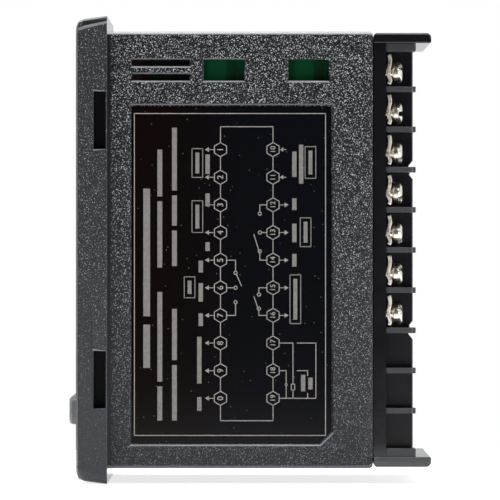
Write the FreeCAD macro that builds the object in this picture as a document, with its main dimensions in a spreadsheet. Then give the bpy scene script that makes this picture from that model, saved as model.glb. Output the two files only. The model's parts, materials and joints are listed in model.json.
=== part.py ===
import FreeCAD, Part
import Sketcher
import math
import os

# Panel-mounted temperature controller with a 96 mm square front and screw terminals at the rear.
# The panel plane is Y = 0, the front looks along -Y, +Z is up and the operator's right is +X.
# The origin is the centre of the front frame's back face, which bears on the panel.
# Sizes are millimetres.

DIMENSIONS = (
    # front frame
    ("bezel_width", 96.0, "square front frame, across its back edge"),
    ("bezel_depth", 6.4, "front frame, from the panel to its front face"),
    ("bezel_taper", 0.6, "how much smaller the frame is on each side where its front edge starts to curve"),
    ("bezel_corner", 1.8, "corner radius of the frame at the panel"),
    ("bezel_front_corner", 2.4, "corner radius of the frame at its front edge"),
    ("bezel_edge_round", 1.7, "round of the front edge"),
    ("bezel_plate", 2.0, "thickness of the front plate"),
    ("bezel_rim", 3.2, "overhang of the frame past the case"),
    ("case_play", 0.15, "play of the case inside the frame"),
    ("case_end_play", 0.2, "gap from the case to the front plate"),
    # latches between the frame and the case
    ("latch_length", 11.8, "height of a latch window"),
    ("latch_width", 2.5, "front to back of a latch window"),
    ("latch_bar", 0.3, "bar of the frame behind a latch window"),
    ("latch_spacing", 53.2, "between the centres of the two latch windows of a side"),
    ("hook_play", 0.3, "room round a latch hook in its window"),
    ("hook_height", 1.2, "latch hook, out of the case side"),
    # display window
    ("window_side", 11.0, "from each side of the frame to the opening of the display window"),
    ("window_top", 12.5, "from the top of the frame to the opening"),
    ("window_bottom", 36.5, "from the bottom of the frame to the opening"),
    ("window_corner", 2.5, "corner radius of the opening"),
    ("window_bevel", 0.6, "bevel round the front of the opening"),
    ("window_recess", 0.2, "how far the pane lies behind the bevel"),
    ("window_play", 0.1, "play of the pane in its opening"),
    ("window_flange", 1.5, "flange of the pane behind the plate"),
    ("window_flange_depth", 0.8, "thickness of that flange"),
    # keys and their switches
    ("key_width", 12.0, "key cap across"),
    ("key_height", 5.8, "key cap up and down"),
    ("key_corner", 2.0, "corner radius of a key cap"),
    ("key_edge_bevel", 0.5, "bevel of a key cap's front edge"),
    ("key_proud", 1.6, "key cap, out of the front face"),
    ("key_inset", 10.0, "from the side of the opening to the middle of the first key"),
    ("key_rise", 14.9, "from the bottom of the frame to the row of keys"),
    ("key_play", 0.2, "play of a key cap in its hole"),
    ("key_flange", 1.0, "flange of a key cap behind the plate"),
    ("key_flange_depth", 0.8, "thickness of that flange"),
    ("key_stop", 0.1, "gap from that flange to the plate"),
    ("stem_width", 3.0, "square stem behind a key cap"),
    ("plunger_width", 2.4, "square plunger of a key switch"),
    ("plunger_play", 0.1, "play of a plunger in its housing"),
    ("plunger_reach", 0.9, "plunger, out of its housing"),
    ("plunger_seat", 1.5, "plunger, inside its housing"),
    ("plunger_room", 1.0, "free depth below a plunger"),
    ("switch_width", 6.0, "square switch housing"),
    ("switch_height", 3.5, "switch housing on its board"),
    # displays and their board
    ("display_gap", 0.2, "from the pane to the displays"),
    ("display_depth", 7.0, "thickness of a display"),
    ("upper_inset", 6.0, "from the side of the opening to the upper display"),
    ("upper_height", 22.0, "upper display up and down"),
    ("lower_inset", 12.0, "from the side of the opening to the lower display"),
    ("display_spacing", 5.0, "between the two displays"),
    ("display_margin", 2.5, "from the top or bottom of the opening to a display"),
    ("lamp_width", 2.0, "indicator lamp up and down"),
    ("lamp_length", 4.0, "indicator lamp across"),
    ("lamp_depth", 5.5, "indicator lamp, out of the board"),
    ("lamp_inset", 5.0, "from the side of the opening to a lamp"),
    ("board_thickness", 1.6, "every circuit board"),
    ("display_board_play", 1.2, "from the display board to the case"),
    ("post_width", 4.4, "square posts that carry the display board"),
    ("post_spread", 56.0, "between the posts, across"),
    ("post_inset", 3.2, "from the inside of the case to a post's centre"),
    ("pin_width", 2.4, "square pin on each post"),
    ("pin_play", 0.1, "play of the pins in the display board"),
    ("pin_head", 0.8, "pin, out of the back of the board"),
    # case
    ("case_length", 54.5, "case behind the panel"),
    ("case_wall", 2.0, "wall of the case"),
    ("case_corner", 0.8, "corner radius of the case"),
    ("case_rear_bevel", 0.5, "bevel of the sides' rear edges"),
    ("vent_drop", 7.9, "from the top of the case to the middle of the vents"),
    ("vent_height", 4.3, "vent windows up and down"),
    ("vent_length", 8.3, "vent windows front to back"),
    ("vent_front", 19.8, "from the panel to the first vent window"),
    ("vent_rear", 9.0, "from the last vent window to the rear edge"),
    ("slot_front", 5.1, "from the panel to the vent slots"),
    ("slot_length", 11.8, "vent slots front to back"),
    ("slot_height", 1.3, "vent slots up and down"),
    ("slot_spacing", 2.95, "between the two vent slots"),
    ("bracket_width", 12.0, "slots in the top and bottom for mounting brackets"),
    ("bracket_length", 4.0, "bracket slot front to back"),
    ("bracket_front", 24.0, "from the panel to a bracket slot"),
    ("rail_depth", 1.6, "guide rails for the boards, out of the case"),
    ("rail_thickness", 1.2, "inner guide rail"),
    ("rail_play", 0.1, "play of a board between its rails"),
    # wiring label
    ("label_front", 4.8, "from the panel to the label recess"),
    ("label_rear", 8.3, "from the label recess to the rear edge"),
    ("label_top", 15.1, "from the top of the case to the label recess"),
    ("label_bottom", 4.9, "from the bottom of the case to the label recess"),
    ("label_corner", 2.5, "bevelled corner, lower and rear"),
    ("label_recess", 0.4, "depth of the label recess"),
    ("label_play", 0.2, "from the edge of the recess to the label"),
    ("label_thickness", 0.15, "label"),
    # terminal block
    ("block_gap", 0.2, "shadow line between the case and the block"),
    ("block_reveal", 0.25, "how much smaller the block is on each side"),
    ("base_thickness", 2.5, "block, from the shadow line to the floor of the bays"),
    ("end_wall", 2.1, "thickness of the top and bottom walls"),
    ("end_wall_length", 9.3, "those walls, out of the floor of the bays"),
    ("end_wall_round", 1.0, "round of their rear edges"),
    ("end_cheek", 1.2, "from an end wall to the edge of the first bay"),
    ("column_inset", 0.6, "how far the columns lie inside the end walls"),
    ("bay_depth", 9.0, "bays, in from the column's face"),
    ("barrier", 1.15, "thickness of a barrier between bays"),
    ("barrier_length", 6.15, "barriers, out of the floor of the bays"),
    ("inner_wall", 1.6, "wall behind the bays"),
    ("inner_wall_length", 5.65, "that wall, out of the floor of the bays"),
    ("notch_width", 3.8, "notches in that wall, at the edge"),
    ("notch_floor", 1.6, "notches, at the bottom"),
    ("notch_depth", 0.9, "depth of the notches"),
    ("spigot_length", 4.2, "block, inside the case"),
    ("spigot_play", 0.2, "play of the block in the case"),
    ("spigot_wall", 2.0, "top and bottom walls of the spigot"),
    # terminals
    ("screw_inset", 4.25, "from the column's face to the screws"),
    ("screw_drop", 0.8, "from the middle of a bay down to its screw"),
    ("tab_width", 7.6, "contact plate, in from the side"),
    ("tab_height", 6.2, "contact plate up and down"),
    ("tab_thickness", 0.8, "contact plate and its tail"),
    ("tail_width", 1.2, "tail of a contact plate"),
    ("tail_rise", 2.4, "from the middle of a bay to the middle of the tail"),
    ("tail_lap", 4.0, "tail, along its board"),
    ("tail_play", 0.1, "play of a tail in its slot"),
    ("clamp_width", 7.0, "clamp plate, in from the side"),
    ("clamp_height", 6.0, "clamp plate up and down"),
    ("clamp_thickness", 0.6, "clamp plate"),
    ("clamp_wave", 0.6, "height of the clamp's two crests"),
    ("clamp_crest", 1.55, "from the screw to a crest"),
    ("clamp_gap", 0.1, "from the contact to the clamp, and from the clamp to the screw head"),
    ("clamp_hole_play", 0.2, "play of the screw in the clamp"),
    ("screw_diameter", 2.9, "terminal screw"),
    ("screw_play", 0.1, "play of the screw in its contact plate"),
    ("well_play", 0.3, "play of the screw in the block"),
    ("screw_length", 6.4, "screw below its head"),
    ("well_room", 0.6, "free depth below a screw"),
    ("head_diameter", 4.6, "screw head"),
    ("head_height", 2.0, "screw head"),
    ("driver_slot", 1.0, "width of the slot in the head"),
    ("driver_depth", 1.2, "depth of that slot"),
    # boards and what stands on them
    ("board_gap", 1.2, "from the case side to a board"),
    ("board_edge_play", 0.2, "from a board to the top and bottom of the case"),
    ("board_front", 8.8, "from the panel to the side boards"),
    ("board_end_play", 0.7, "from a side board to the block"),
    ("header_width", 3.0, "header between boards, in from its board"),
    ("header_lap", 4.0, "header, along its side board"),
    ("header_length", 22.0, "header up and down"),
    ("header_inset", 2.2, "from the top of a side board to its header"),
    ("transformer_height", 24.0, "transformer, out of its board"),
    ("transformer_length", 30.0, "transformer front to back"),
    ("transformer_width", 28.0, "transformer up and down"),
    ("transformer_inset", 4.5, "from the corner of the board to the transformer"),
    ("transformer_bevel", 1.5, "edges of the transformer"),
    ("capacitor_diameter", 10.0, "capacitors"),
    ("capacitor_height", 18.0, "capacitors, out of their board"),
    ("capacitor_pitch", 14.0, "between the capacitors"),
    ("capacitor_rise", 10.0, "from the middle of the board to the capacitors"),
    ("relay_height", 15.5, "relays, out of their board"),
    ("relay_length", 10.0, "relays front to back"),
    ("relay_width", 19.0, "relays up and down"),
    ("relay_pitch", 21.0, "between the relays"),
    ("relay_inset", 5.5, "from the rear of the board to the relays"),
    ("chip_width", 10.0, "square chips"),
    ("chip_height", 1.6, "chips, out of their board"),
    ("chip_pitch", 16.0, "between the chips"),
    ("chip_inset", 6.0, "from the front of the board to the chips"),
)

BAYS = 10
RIGHT_TERMINALS = 7
LEFT_TERMINALS = 10
NOTCH_BAYS = 2
KEY_NAMES = ("set", "shift", "down", "up")
LAMPS_A_SIDE = 3
RELAYS = 3
CHIPS = 2
CAPACITORS = 2
CAPACITOR_SIDES = 24
HEAD_SIDES = 20
SHANK_SIDES = 8

# Directions of the driver slots, in degrees from the side, top terminal first.
RIGHT_SLOTS = (-36, 4, 38, 30, 44, -34, -40)
LEFT_SLOTS = (20, 75, -15, 50, -60, 5, 33, -28, 64, -45)

doc = FreeCAD.newDocument("temperature_controller")
sheet = doc.addObject("Spreadsheet::Sheet", "dims")
for row, (alias, value, meaning) in enumerate(DIMENSIONS, start=1):
    sheet.set(f"A{row}", meaning)
    sheet.set(f"B{row}", str(value))
    sheet.setAlias(f"B{row}", alias)
doc.recompute()


class Size:
    """A length as a number and as the sheet expression that binds a feature to it."""

    def __init__(self, number, text):
        self.number = number
        self.text = text

    def __add__(self, other):
        other = as_size(other)
        return Size(self.number + other.number, f"({self.text} + {other.text})")

    def __sub__(self, other):
        other = as_size(other)
        return Size(self.number - other.number, f"({self.text} - {other.text})")

    def __mul__(self, other):
        other = as_size(other)
        return Size(self.number * other.number, f"({self.text} * {other.text})")

    def __truediv__(self, other):
        other = as_size(other)
        return Size(self.number / other.number, f"({self.text} / {other.text})")

    def __neg__(self):
        return Size(-self.number, f"(0 - {self.text})")


def as_size(value):
    """A Size as it is, or a plain number made into one."""
    if isinstance(value, Size):
        return value
    return Size(value, f"({value})")


class Dimensions:
    """Each sheet alias as an attribute that gives its Size."""

    def __getattr__(self, alias):
        return Size(float(sheet.get(alias)), f"dims.{alias}")


d = Dimensions()
ZERO = as_size(0)

# Places worked out from the sheet. X and Z are distances from the centre line, Y from the panel.
half_bezel = d.bezel_width / 2
half_case = half_bezel - d.bezel_rim
half_hollow = half_case - d.case_wall
bezel_front = -d.bezel_depth
plate_back = d.bezel_plate - d.bezel_depth
case_front = plate_back + d.case_end_play
latch_back = -d.latch_bar
latch_front = latch_back - d.latch_width

window_half = half_bezel - d.window_side
window_high = half_bezel - d.window_top
window_low = d.window_bottom - half_bezel
flange_back = plate_back + d.window_flange_depth
display_front = flange_back + d.display_gap
display_back = display_front + d.display_depth
display_board_back = display_back + d.board_thickness
upper_high = window_high - d.display_margin
upper_low = upper_high - d.upper_height
lower_high = upper_low - d.display_spacing
lower_low = window_low + d.display_margin
post_x = d.post_spread / 2
post_z = half_hollow - d.post_inset

key_z = d.key_rise - half_bezel
switch_front = display_back - d.switch_height
plunger_front = switch_front - d.plunger_reach

block_front = d.case_length + d.block_gap
bay_floor = block_front + d.base_thickness
half_block = half_case - d.block_reveal
end_wall_inside = half_block - d.end_wall
column_face = half_block - d.column_inset
bay_back = column_face - d.bay_depth
recess_side = bay_back - d.inner_wall
barrier_end = bay_floor + d.barrier_length
inner_wall_end = bay_floor + d.inner_wall_length
end_wall_end = bay_floor + d.end_wall_length
spigot_front = block_front - d.spigot_length
half_spigot = half_hollow - d.spigot_play
terminal_pitch = (end_wall_inside - d.end_cheek) * 2 / BAYS
half_bay = (terminal_pitch - d.barrier) / 2
first_bay = terminal_pitch * ((BAYS - 1) / 2)
first_screw = first_bay - d.screw_drop
screw_x = column_face - d.screw_inset

board_outer = half_hollow - d.board_gap
board_inner = board_outer - d.board_thickness
half_board = half_hollow - d.board_edge_play
board_rear = spigot_front - d.board_end_play

clamp_floor = bay_floor + d.clamp_gap
head_floor = clamp_floor + d.clamp_thickness + d.clamp_wave + d.clamp_gap
head_top = head_floor + d.head_height
screw_tip = head_floor - d.screw_length
well_floor = screw_tip - d.well_room
tail_inner = board_inner - d.tab_thickness
tail_front = board_rear - d.tail_lap


def pin(sketch, geometry, position, x=None, y=None):
    """Fix a point of a sketch at sizes measured from the sketch's origin."""
    for kind, size in (("DistanceX", x), ("DistanceY", y)):
        if size is not None:
            constraint = Sketcher.Constraint(kind, -1, 1, geometry, position, size.number)
            index = sketch.addConstraint(constraint)
            sketch.setExpression(f"Constraints[{index}]", size.text)


def fix_radius(sketch, geometry, radius):
    """Bind the radius of a circle or arc."""
    index = sketch.addConstraint(Sketcher.Constraint("Radius", geometry, radius.number))
    sketch.setExpression(f"Constraints[{index}]", radius.text)


def join(sketch, geometry, position, other, other_position):
    """Make two end points one."""
    sketch.addConstraint(Sketcher.Constraint("Coincident", geometry, position, other, other_position))


def vector(x, y):
    """Sketch point at two sizes."""
    return FreeCAD.Vector(x.number, y.number, 0)


def polygon(*corners):
    """Closed outline of straight edges."""

    def draw(sketch):
        first = sketch.GeometryCount
        count = len(corners)
        for index in range(count):
            following = corners[(index + 1) % count]
            sketch.addGeometry(Part.LineSegment(vector(*corners[index]), vector(*following)))
        for index, corner in enumerate(corners):
            join(sketch, first + index, 2, first + (index + 1) % count, 1)
            pin(sketch, first + index, 1, *corner)

    return draw


def rectangle(left, right, bottom, top):
    """Upright rectangle."""
    return polygon((left, bottom), (right, bottom), (right, top), (left, top))


def square(half):
    """Square about the origin."""
    return rectangle(-half, half, -half, half)


def rounded(left, right, bottom, top, radius):
    """Upright rectangle with round corners."""
    centres = (
        (right - radius, top - radius),
        (left + radius, top - radius),
        (left + radius, bottom + radius),
        (right - radius, bottom + radius),
    )

    def draw(sketch):
        first = sketch.GeometryCount
        arcs = []
        for turn, centre in enumerate(centres):
            circle = Part.Circle(vector(*centre), FreeCAD.Vector(0, 0, 1), radius.number)
            start = turn * math.pi / 2
            arcs.append(Part.ArcOfCircle(circle, start, start + math.pi / 2))
            sketch.addGeometry(arcs[-1])
        for turn in range(4):
            sketch.addGeometry(Part.LineSegment(arcs[turn].EndPoint, arcs[(turn + 1) % 4].StartPoint))
        for turn, centre in enumerate(centres):
            arc = first + turn
            line = first + 4 + turn
            following = first + (turn + 1) % 4
            sketch.addConstraint(Sketcher.Constraint("Tangent", arc, 2, line, 1))
            sketch.addConstraint(Sketcher.Constraint("Tangent", line, 2, following, 1))
            pin(sketch, arc, 3, *centre)
            fix_radius(sketch, arc, radius)

    return draw


def rounded_square(half, radius):
    """Square about the origin with round corners."""
    return rounded(-half, half, -half, half, radius)


def many_sided(x, y, radius, sides):
    """Regular outline with its corners on a circle, standing for a small round one with few faces."""
    corners = []
    for index in range(sides):
        angle = 2 * math.pi * (index + 0.5) / sides
        corners.append((x + radius * math.cos(angle), y + radius * math.sin(angle)))
    return polygon(*corners)


def new_body(name):
    """Empty body whose label names its piece."""
    body = doc.addObject("PartDesign::Body", name)
    body.Label = name
    return body


def origin_feature(body, role):
    """Plane or axis of a body's own origin."""
    return next(feature for feature in body.Origin.OriginFeatures if feature.Role == role)


def new_sketch(body, plane, level, outlines):
    """Sketch of outlines on an origin plane, at a level along the axis across that plane."""
    sketch = body.newObject("Sketcher::SketchObject", "Sketch")
    sketch.AttachmentSupport = [(origin_feature(body, f"{plane}_Plane"), "")]
    sketch.MapMode = "FlatFace"
    offset = -level if plane == "XZ" else level
    sketch.setExpression("AttachmentOffset.Base.z", offset.text)
    for draw in outlines:
        draw(sketch)
    return sketch


def pad(body, plane, low, high, *outlines):
    """Add outlines between two levels of the axis across a plane."""
    start = high if plane == "XZ" else low
    feature = body.newObject("PartDesign::Pad", "Pad")
    feature.Profile = new_sketch(body, plane, start, outlines)
    feature.setExpression("Length", (high - low).text)
    body.Tip = feature
    return feature


def pocket(body, plane, low, high, *outlines):
    """Cut outlines between two levels of the axis across a plane."""
    start = low if plane == "XZ" else high
    sketch = new_sketch(body, plane, start, outlines)
    feature = body.newObject("PartDesign::Pocket", "Pocket")
    feature.Profile = sketch
    feature.setExpression("Length", (high - low).text)
    body.Tip = feature
    return feature


def loft(body, *sections):
    """Add a straight-sided loft through rounded squares, each given by its Y level, half width and corner."""
    sketches = [new_sketch(body, "XZ", level, [rounded_square(half, corner)]) for level, half, corner in sections]
    feature = body.newObject("PartDesign::AdditiveLoft", "Loft")
    feature.Profile = sketches[0]
    feature.Sections = sketches[1:]
    feature.Ruled = True
    body.Tip = feature


def repeat_down(body, features, step, count):
    """Repeat features downwards."""
    pattern = body.newObject("PartDesign::LinearPattern", "Pattern")
    pattern.Originals = features
    pattern.Direction = (origin_feature(body, "Z_Axis"), [""])
    pattern.Reversed = True
    pattern.setExpression("Length", (step * (count - 1)).text)
    pattern.Occurrences = count
    body.Tip = pattern


def mirror(body, features, plane):
    """Repeat features on the other side of an origin plane."""
    mirrored = body.newObject("PartDesign::Mirrored", "Mirrored")
    mirrored.Originals = features
    mirrored.MirrorPlane = (origin_feature(body, f"{plane}_Plane"), [""])
    body.Tip = mirrored
    return mirrored


def edges(body, test):
    """Tip of a body and the names of its edges whose box passes a test."""
    doc.recompute()
    names = []
    for index, edge in enumerate(body.Tip.Shape.Edges, start=1):
        if test(edge.BoundBox):
            names.append(f"Edge{index}")
    return body.Tip, names


def at(low, high, level):
    """Whether a box side lies at one level."""
    return abs(low - level.number) < 1e-4 and abs(high - level.number) < 1e-4


def fillet(body, radius, test):
    """Round the edges that pass a test."""
    base = edges(body, test)
    feature = body.newObject("PartDesign::Fillet", "Fillet")
    feature.Base = base
    feature.setExpression("Radius", radius.text)
    body.Tip = feature


def chamfer(body, size, test):
    """Bevel the edges that pass a test."""
    base = edges(body, test)
    feature = body.newObject("PartDesign::Chamfer", "Chamfer")
    feature.Base = base
    feature.setExpression("Size", size.text)
    body.Tip = feature


def key_places():
    """Name and X of each key, from the operator's left."""
    last = window_half - d.key_inset
    for index, name in enumerate(KEY_NAMES):
        yield name, last * (2 * index / (len(KEY_NAMES) - 1) - 1)


def key_outline(x, margin):
    """Outline of a key cap, grown by a margin."""
    half_width = d.key_width / 2 + margin
    half_height = d.key_height / 2 + margin
    return rounded(x - half_width, x + half_width, key_z - half_height, key_z + half_height, d.key_corner + margin)


def key_square(x, half):
    """Square on the axis of a key."""
    return rectangle(x - half, x + half, key_z - half, key_z + half)


def window_outline(margin):
    """Outline of the display window's opening, grown by a margin."""
    half = window_half + margin
    return rounded(-half, half, window_low - margin, window_high + margin, d.window_corner + margin)


def post_squares(half):
    """Squares at the four posts that carry the display board."""
    places = [(x, z) for x in (-post_x, post_x) for z in (-post_z, post_z)]
    return [rectangle(x - half, x + half, z - half, z + half) for x, z in places]


def latch_spans(margin):
    """Low and high Z of each latch window, shrunk by a margin."""
    half = d.latch_length / 2 - margin
    for centre in (d.latch_spacing / 2, -d.latch_spacing / 2):
        yield centre - half, centre + half


def make_front_bezel():
    """Moulded frame: tapered shell, display opening, key holes, latch windows and heat-staked posts."""
    body = new_body("front_bezel")
    shoulder = half_bezel - d.bezel_taper
    shoulder_level = bezel_front + d.bezel_edge_round
    on_round = math.sqrt(0.5)
    sections = (
        (ZERO, half_bezel, d.bezel_corner),
        (shoulder_level, shoulder, d.bezel_front_corner),
        (
            shoulder_level - d.bezel_edge_round * on_round,
            shoulder - d.bezel_edge_round * (1 - on_round),
            d.bezel_front_corner,
        ),
        (bezel_front, shoulder - d.bezel_edge_round, d.bezel_front_corner),
    )
    for start, end in zip(sections, sections[1:]):
        loft(body, start, end)
    pocket(body, "XZ", plate_back, ZERO, rounded_square(half_case + d.case_play, d.case_corner + d.case_play))
    pocket(body, "XZ", bezel_front, plate_back, window_outline(ZERO))
    chamfer(
        body,
        d.window_bevel,
        lambda box: at(box.YMin, box.YMax, bezel_front) and box.ZMin > window_low.number - 1
        and box.ZMax < window_high.number + 1 and abs(box.XMin) < window_half.number + 1,
    )
    key_holes = [key_outline(x, d.key_play) for name, x in key_places()]
    pocket(body, "XZ", bezel_front, plate_back, *key_holes)
    windows = [rectangle(latch_front, latch_back, low, high) for low, high in latch_spans(ZERO)]
    pocket(body, "YZ", -half_bezel, half_bezel, *windows)
    pad(body, "XZ", plate_back, display_back, *post_squares(d.post_width / 2))
    pad(body, "XZ", display_back, display_board_back + d.pin_head, *post_squares(d.pin_width / 2))
    return body


def make_display_window():
    """Smoked pane with a flange behind the front plate."""
    body = new_body("display_window")
    pane_front = bezel_front + d.window_bevel + d.window_recess
    half = window_half + d.window_flange
    low = window_low - d.window_flange
    high = window_high + d.window_flange
    pad(body, "XZ", plate_back, flange_back, rectangle(-half, half, low, high))
    pad(body, "XZ", pane_front, plate_back, window_outline(-d.window_play))
    return body


def make_key(name, x):
    """Key cap with its flange and stem."""
    body = new_body(f"{name}_key")
    flange_front = plate_back + d.key_stop
    stem_front = flange_front + d.key_flange_depth
    cap_front = bezel_front - d.key_proud
    pad(body, "XZ", cap_front, stem_front, key_outline(x, ZERO))
    flange_x = d.key_width / 2 + d.key_flange
    flange_z = d.key_height / 2 + d.key_flange
    flange = rectangle(x - flange_x, x + flange_x, key_z - flange_z, key_z + flange_z)
    pad(body, "XZ", flange_front, stem_front, flange)
    pad(body, "XZ", stem_front, plunger_front, key_square(x, d.stem_width / 2))
    chamfer(body, d.key_edge_bevel, lambda box: at(box.YMin, box.YMax, cap_front))
    return body


def make_plunger(name, x):
    """Plunger of the switch under a key."""
    body = new_body(f"{name}_plunger")
    pad(body, "XZ", plunger_front, switch_front + d.plunger_seat, key_square(x, d.plunger_width / 2))
    return body


def make_switch_housings():
    """Housings of the four key switches, each with the bore of its plunger."""
    body = new_body("switch_housings")
    half_bore = d.plunger_width / 2 + d.plunger_play
    bore_floor = switch_front + d.plunger_seat + d.plunger_room
    places = [x for name, x in key_places()]
    pad(body, "XZ", switch_front, display_back, *[key_square(x, d.switch_width / 2) for x in places])
    pocket(body, "XZ", switch_front, bore_floor, *[key_square(x, half_bore) for x in places])
    return body


def make_display(name, inset, low, high):
    """Seven-segment display block."""
    body = new_body(name)
    half = window_half - inset
    pad(body, "XZ", display_front, display_back, rectangle(-half, half, low, high))
    return body


def make_status_leds():
    """Indicator lamps at both sides of the lower display."""
    body = new_body("status_leds")
    half_long = d.lamp_length / 2
    half_high = d.lamp_width / 2
    pitch = (lower_high - lower_low - d.lamp_width) / (LAMPS_A_SIDE - 1)
    outlines = []
    for x in (d.lamp_inset - window_half, window_half - d.lamp_inset):
        for index in range(LAMPS_A_SIDE):
            z = lower_low + half_high + pitch * index
            outlines.append(rectangle(x - half_long, x + half_long, z - half_high, z + half_high))
    pad(body, "XZ", display_back - d.lamp_depth, display_back, *outlines)
    return body


def make_display_board():
    """Circuit board behind the displays, on the frame's posts."""
    body = new_body("display_board")
    pad(body, "XZ", display_back, display_board_back, square(half_hollow - d.display_board_play))
    pocket(body, "XZ", display_back, display_board_back, *post_squares(d.pin_width / 2 + d.pin_play))
    return body


def label_outline(margin):
    """Label recess seen from the side, shrunk by a margin, with its lower rear corner bevelled."""
    front = d.label_front + margin
    rear = d.case_length - d.label_rear - margin
    top = half_case - d.label_top - margin
    bottom = d.label_bottom - half_case + margin
    return polygon(
        (front, bottom),
        (rear - d.label_corner, bottom),
        (rear, bottom + d.label_corner),
        (rear, top),
        (front, top),
    )


def vent_outlines():
    """Two thin slots and two windows near the top of the case, seen from the side."""
    middle = half_case - d.vent_drop
    slot_half = d.slot_height / 2
    for centre in (middle - d.slot_spacing / 2, middle + d.slot_spacing / 2):
        yield rectangle(d.slot_front, d.slot_front + d.slot_length, centre - slot_half, centre + slot_half)
    vent_half = d.vent_height / 2
    last = d.case_length - d.vent_rear
    for front in (d.vent_front, last - d.vent_length):
        yield rectangle(front, front + d.vent_length, middle - vent_half, middle + vent_half)


def rail_outlines():
    """Guide rails for the edges of the two side boards, seen from the front."""
    low = half_hollow - d.rail_depth
    high = half_hollow + d.case_wall / 2
    inside = board_inner - d.rail_play
    outside = board_outer + d.rail_play
    wall = half_hollow + d.case_wall / 2
    for left, right in ((inside - d.rail_thickness, inside), (outside, wall)):
        for x_low, x_high in ((left, right), (-right, -left)):
            yield rectangle(x_low, x_high, low, high)
            yield rectangle(x_low, x_high, -high, -low)


def make_case_sleeve():
    """Square moulded tube with vents, bracket slots, a label recess, guide rails and latch hooks."""
    body = new_body("case_sleeve")
    pad(body, "XZ", case_front, d.case_length, rounded_square(half_case, d.case_corner))
    pocket(body, "XZ", case_front, d.case_length, square(half_hollow))
    chamfer(
        body,
        d.case_rear_bevel,
        lambda box: at(box.YMin, box.YMax, d.case_length)
        and (at(box.XMin, box.XMax, half_case) or at(box.XMin, box.XMax, -half_case)),
    )
    pocket(body, "YZ", half_case - d.label_recess, half_case, label_outline(ZERO))
    pocket(body, "YZ", -half_case, half_case, *vent_outlines())
    bracket_rear = d.bracket_front + d.bracket_length
    bracket_half = d.bracket_width / 2
    pocket(body, "XY", -half_case, half_case, rectangle(-bracket_half, bracket_half, d.bracket_front, bracket_rear))
    pad(body, "XZ", d.board_front, board_rear, *rail_outlines())
    hook_back = latch_back - d.hook_play
    hook_front = latch_front + d.hook_play
    hook_root = half_case - d.case_wall / 2
    ramp = polygon(
        (hook_root, hook_front),
        (half_case, hook_front),
        (half_case + d.hook_height, hook_back),
        (hook_root, hook_back),
    )
    hooks = [pad(body, "XY", low, high, ramp) for low, high in latch_spans(d.hook_play)]
    mirror(body, hooks, "YZ")
    return body


def make_nameplate():
    """Wiring label on the floor of its recess."""
    body = new_body("nameplate")
    floor = half_case - d.label_recess
    pad(body, "YZ", floor, floor + d.label_thickness, label_outline(d.label_play))
    return body


def both_sides(left, right, bottom, top):
    """Rectangle on the right and its mirror image on the left."""
    return [rectangle(left, right, bottom, top), rectangle(-right, -left, bottom, top)]


def make_terminal_block():
    """Rear moulding: base, end walls, two columns of bays with barriers, contact seats and screw wells."""
    body = new_body("terminal_block")
    pad(body, "XZ", block_front, bay_floor, rectangle(-column_face, column_face, -half_block, half_block))
    walls = [
        rectangle(-half_block, half_block, end_wall_inside, half_block),
        rectangle(-half_block, half_block, -half_block, -end_wall_inside),
    ]
    pad(body, "XZ", block_front, end_wall_end, *walls)
    fillet(
        body,
        d.end_wall_round,
        lambda box: at(box.YMin, box.YMax, end_wall_end)
        and (at(box.ZMin, box.ZMax, half_block) or at(box.ZMin, box.ZMax, -half_block)),
    )
    columns = both_sides(recess_side, column_face, -end_wall_inside, end_wall_inside)
    pad(body, "XZ", bay_floor, barrier_end, *columns)
    pad(body, "XZ", spigot_front, block_front, square(half_spigot))
    spigot_inside = half_spigot - d.spigot_wall
    pocket(body, "XZ", spigot_front, block_front, rectangle(-recess_side, recess_side, -spigot_inside, spigot_inside))
    steps = both_sides(recess_side, bay_back, -end_wall_inside, end_wall_inside)
    pocket(body, "XZ", inner_wall_end, barrier_end, *steps)

    bays = both_sides(bay_back, half_block, first_bay - half_bay, first_bay + half_bay)
    bay = pocket(body, "XZ", bay_floor, barrier_end, *bays)
    seat_half_width = d.tab_width / 2
    seat_half_height = d.tab_height / 2
    seats = both_sides(
        screw_x - seat_half_width,
        screw_x + seat_half_width,
        first_bay - seat_half_height,
        first_bay + seat_half_height,
    )
    seat = pocket(body, "XZ", bay_floor - d.tab_thickness, bay_floor, *seats)
    half_well = d.screw_diameter / 2 + d.well_play
    wells = both_sides(screw_x - half_well, screw_x + half_well, first_screw - half_well, first_screw + half_well)
    well = pocket(body, "XZ", well_floor, bay_floor, *wells)
    tail_half = d.tail_width / 2 + d.tail_play
    tail_z = first_bay + d.tail_rise
    slots = both_sides(
        tail_inner - d.tail_play,
        board_inner + d.tail_play,
        tail_z - tail_half,
        tail_z + tail_half,
    )
    slot = pocket(body, "XZ", spigot_front, bay_floor, *slots)
    repeat_down(body, [bay, seat, well, slot], terminal_pitch, BAYS)

    notch_edge = inner_wall_end
    notch_low = inner_wall_end - d.notch_depth
    notches = []
    for z in (terminal_pitch * NOTCH_BAYS, terminal_pitch * -NOTCH_BAYS):
        notches.append(
            polygon(
                (notch_low, z - d.notch_floor / 2),
                (notch_edge, z - d.notch_width / 2),
                (notch_edge, z + d.notch_width / 2),
                (notch_low, z + d.notch_floor / 2),
            )
        )
    mirror(body, [pocket(body, "YZ", recess_side, bay_back, *notches)], "YZ")
    return body


def terminal_places():
    """Name stem, number, side, Z of the bay and slot direction of every fitted terminal, from the top."""
    for side, stem, count, slots in (
        (1, "right", RIGHT_TERMINALS, RIGHT_SLOTS),
        (-1, "left", LEFT_TERMINALS, LEFT_SLOTS),
    ):
        for index in range(count):
            yield stem, index + 1, side, first_bay - terminal_pitch * index, slots[index]


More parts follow.
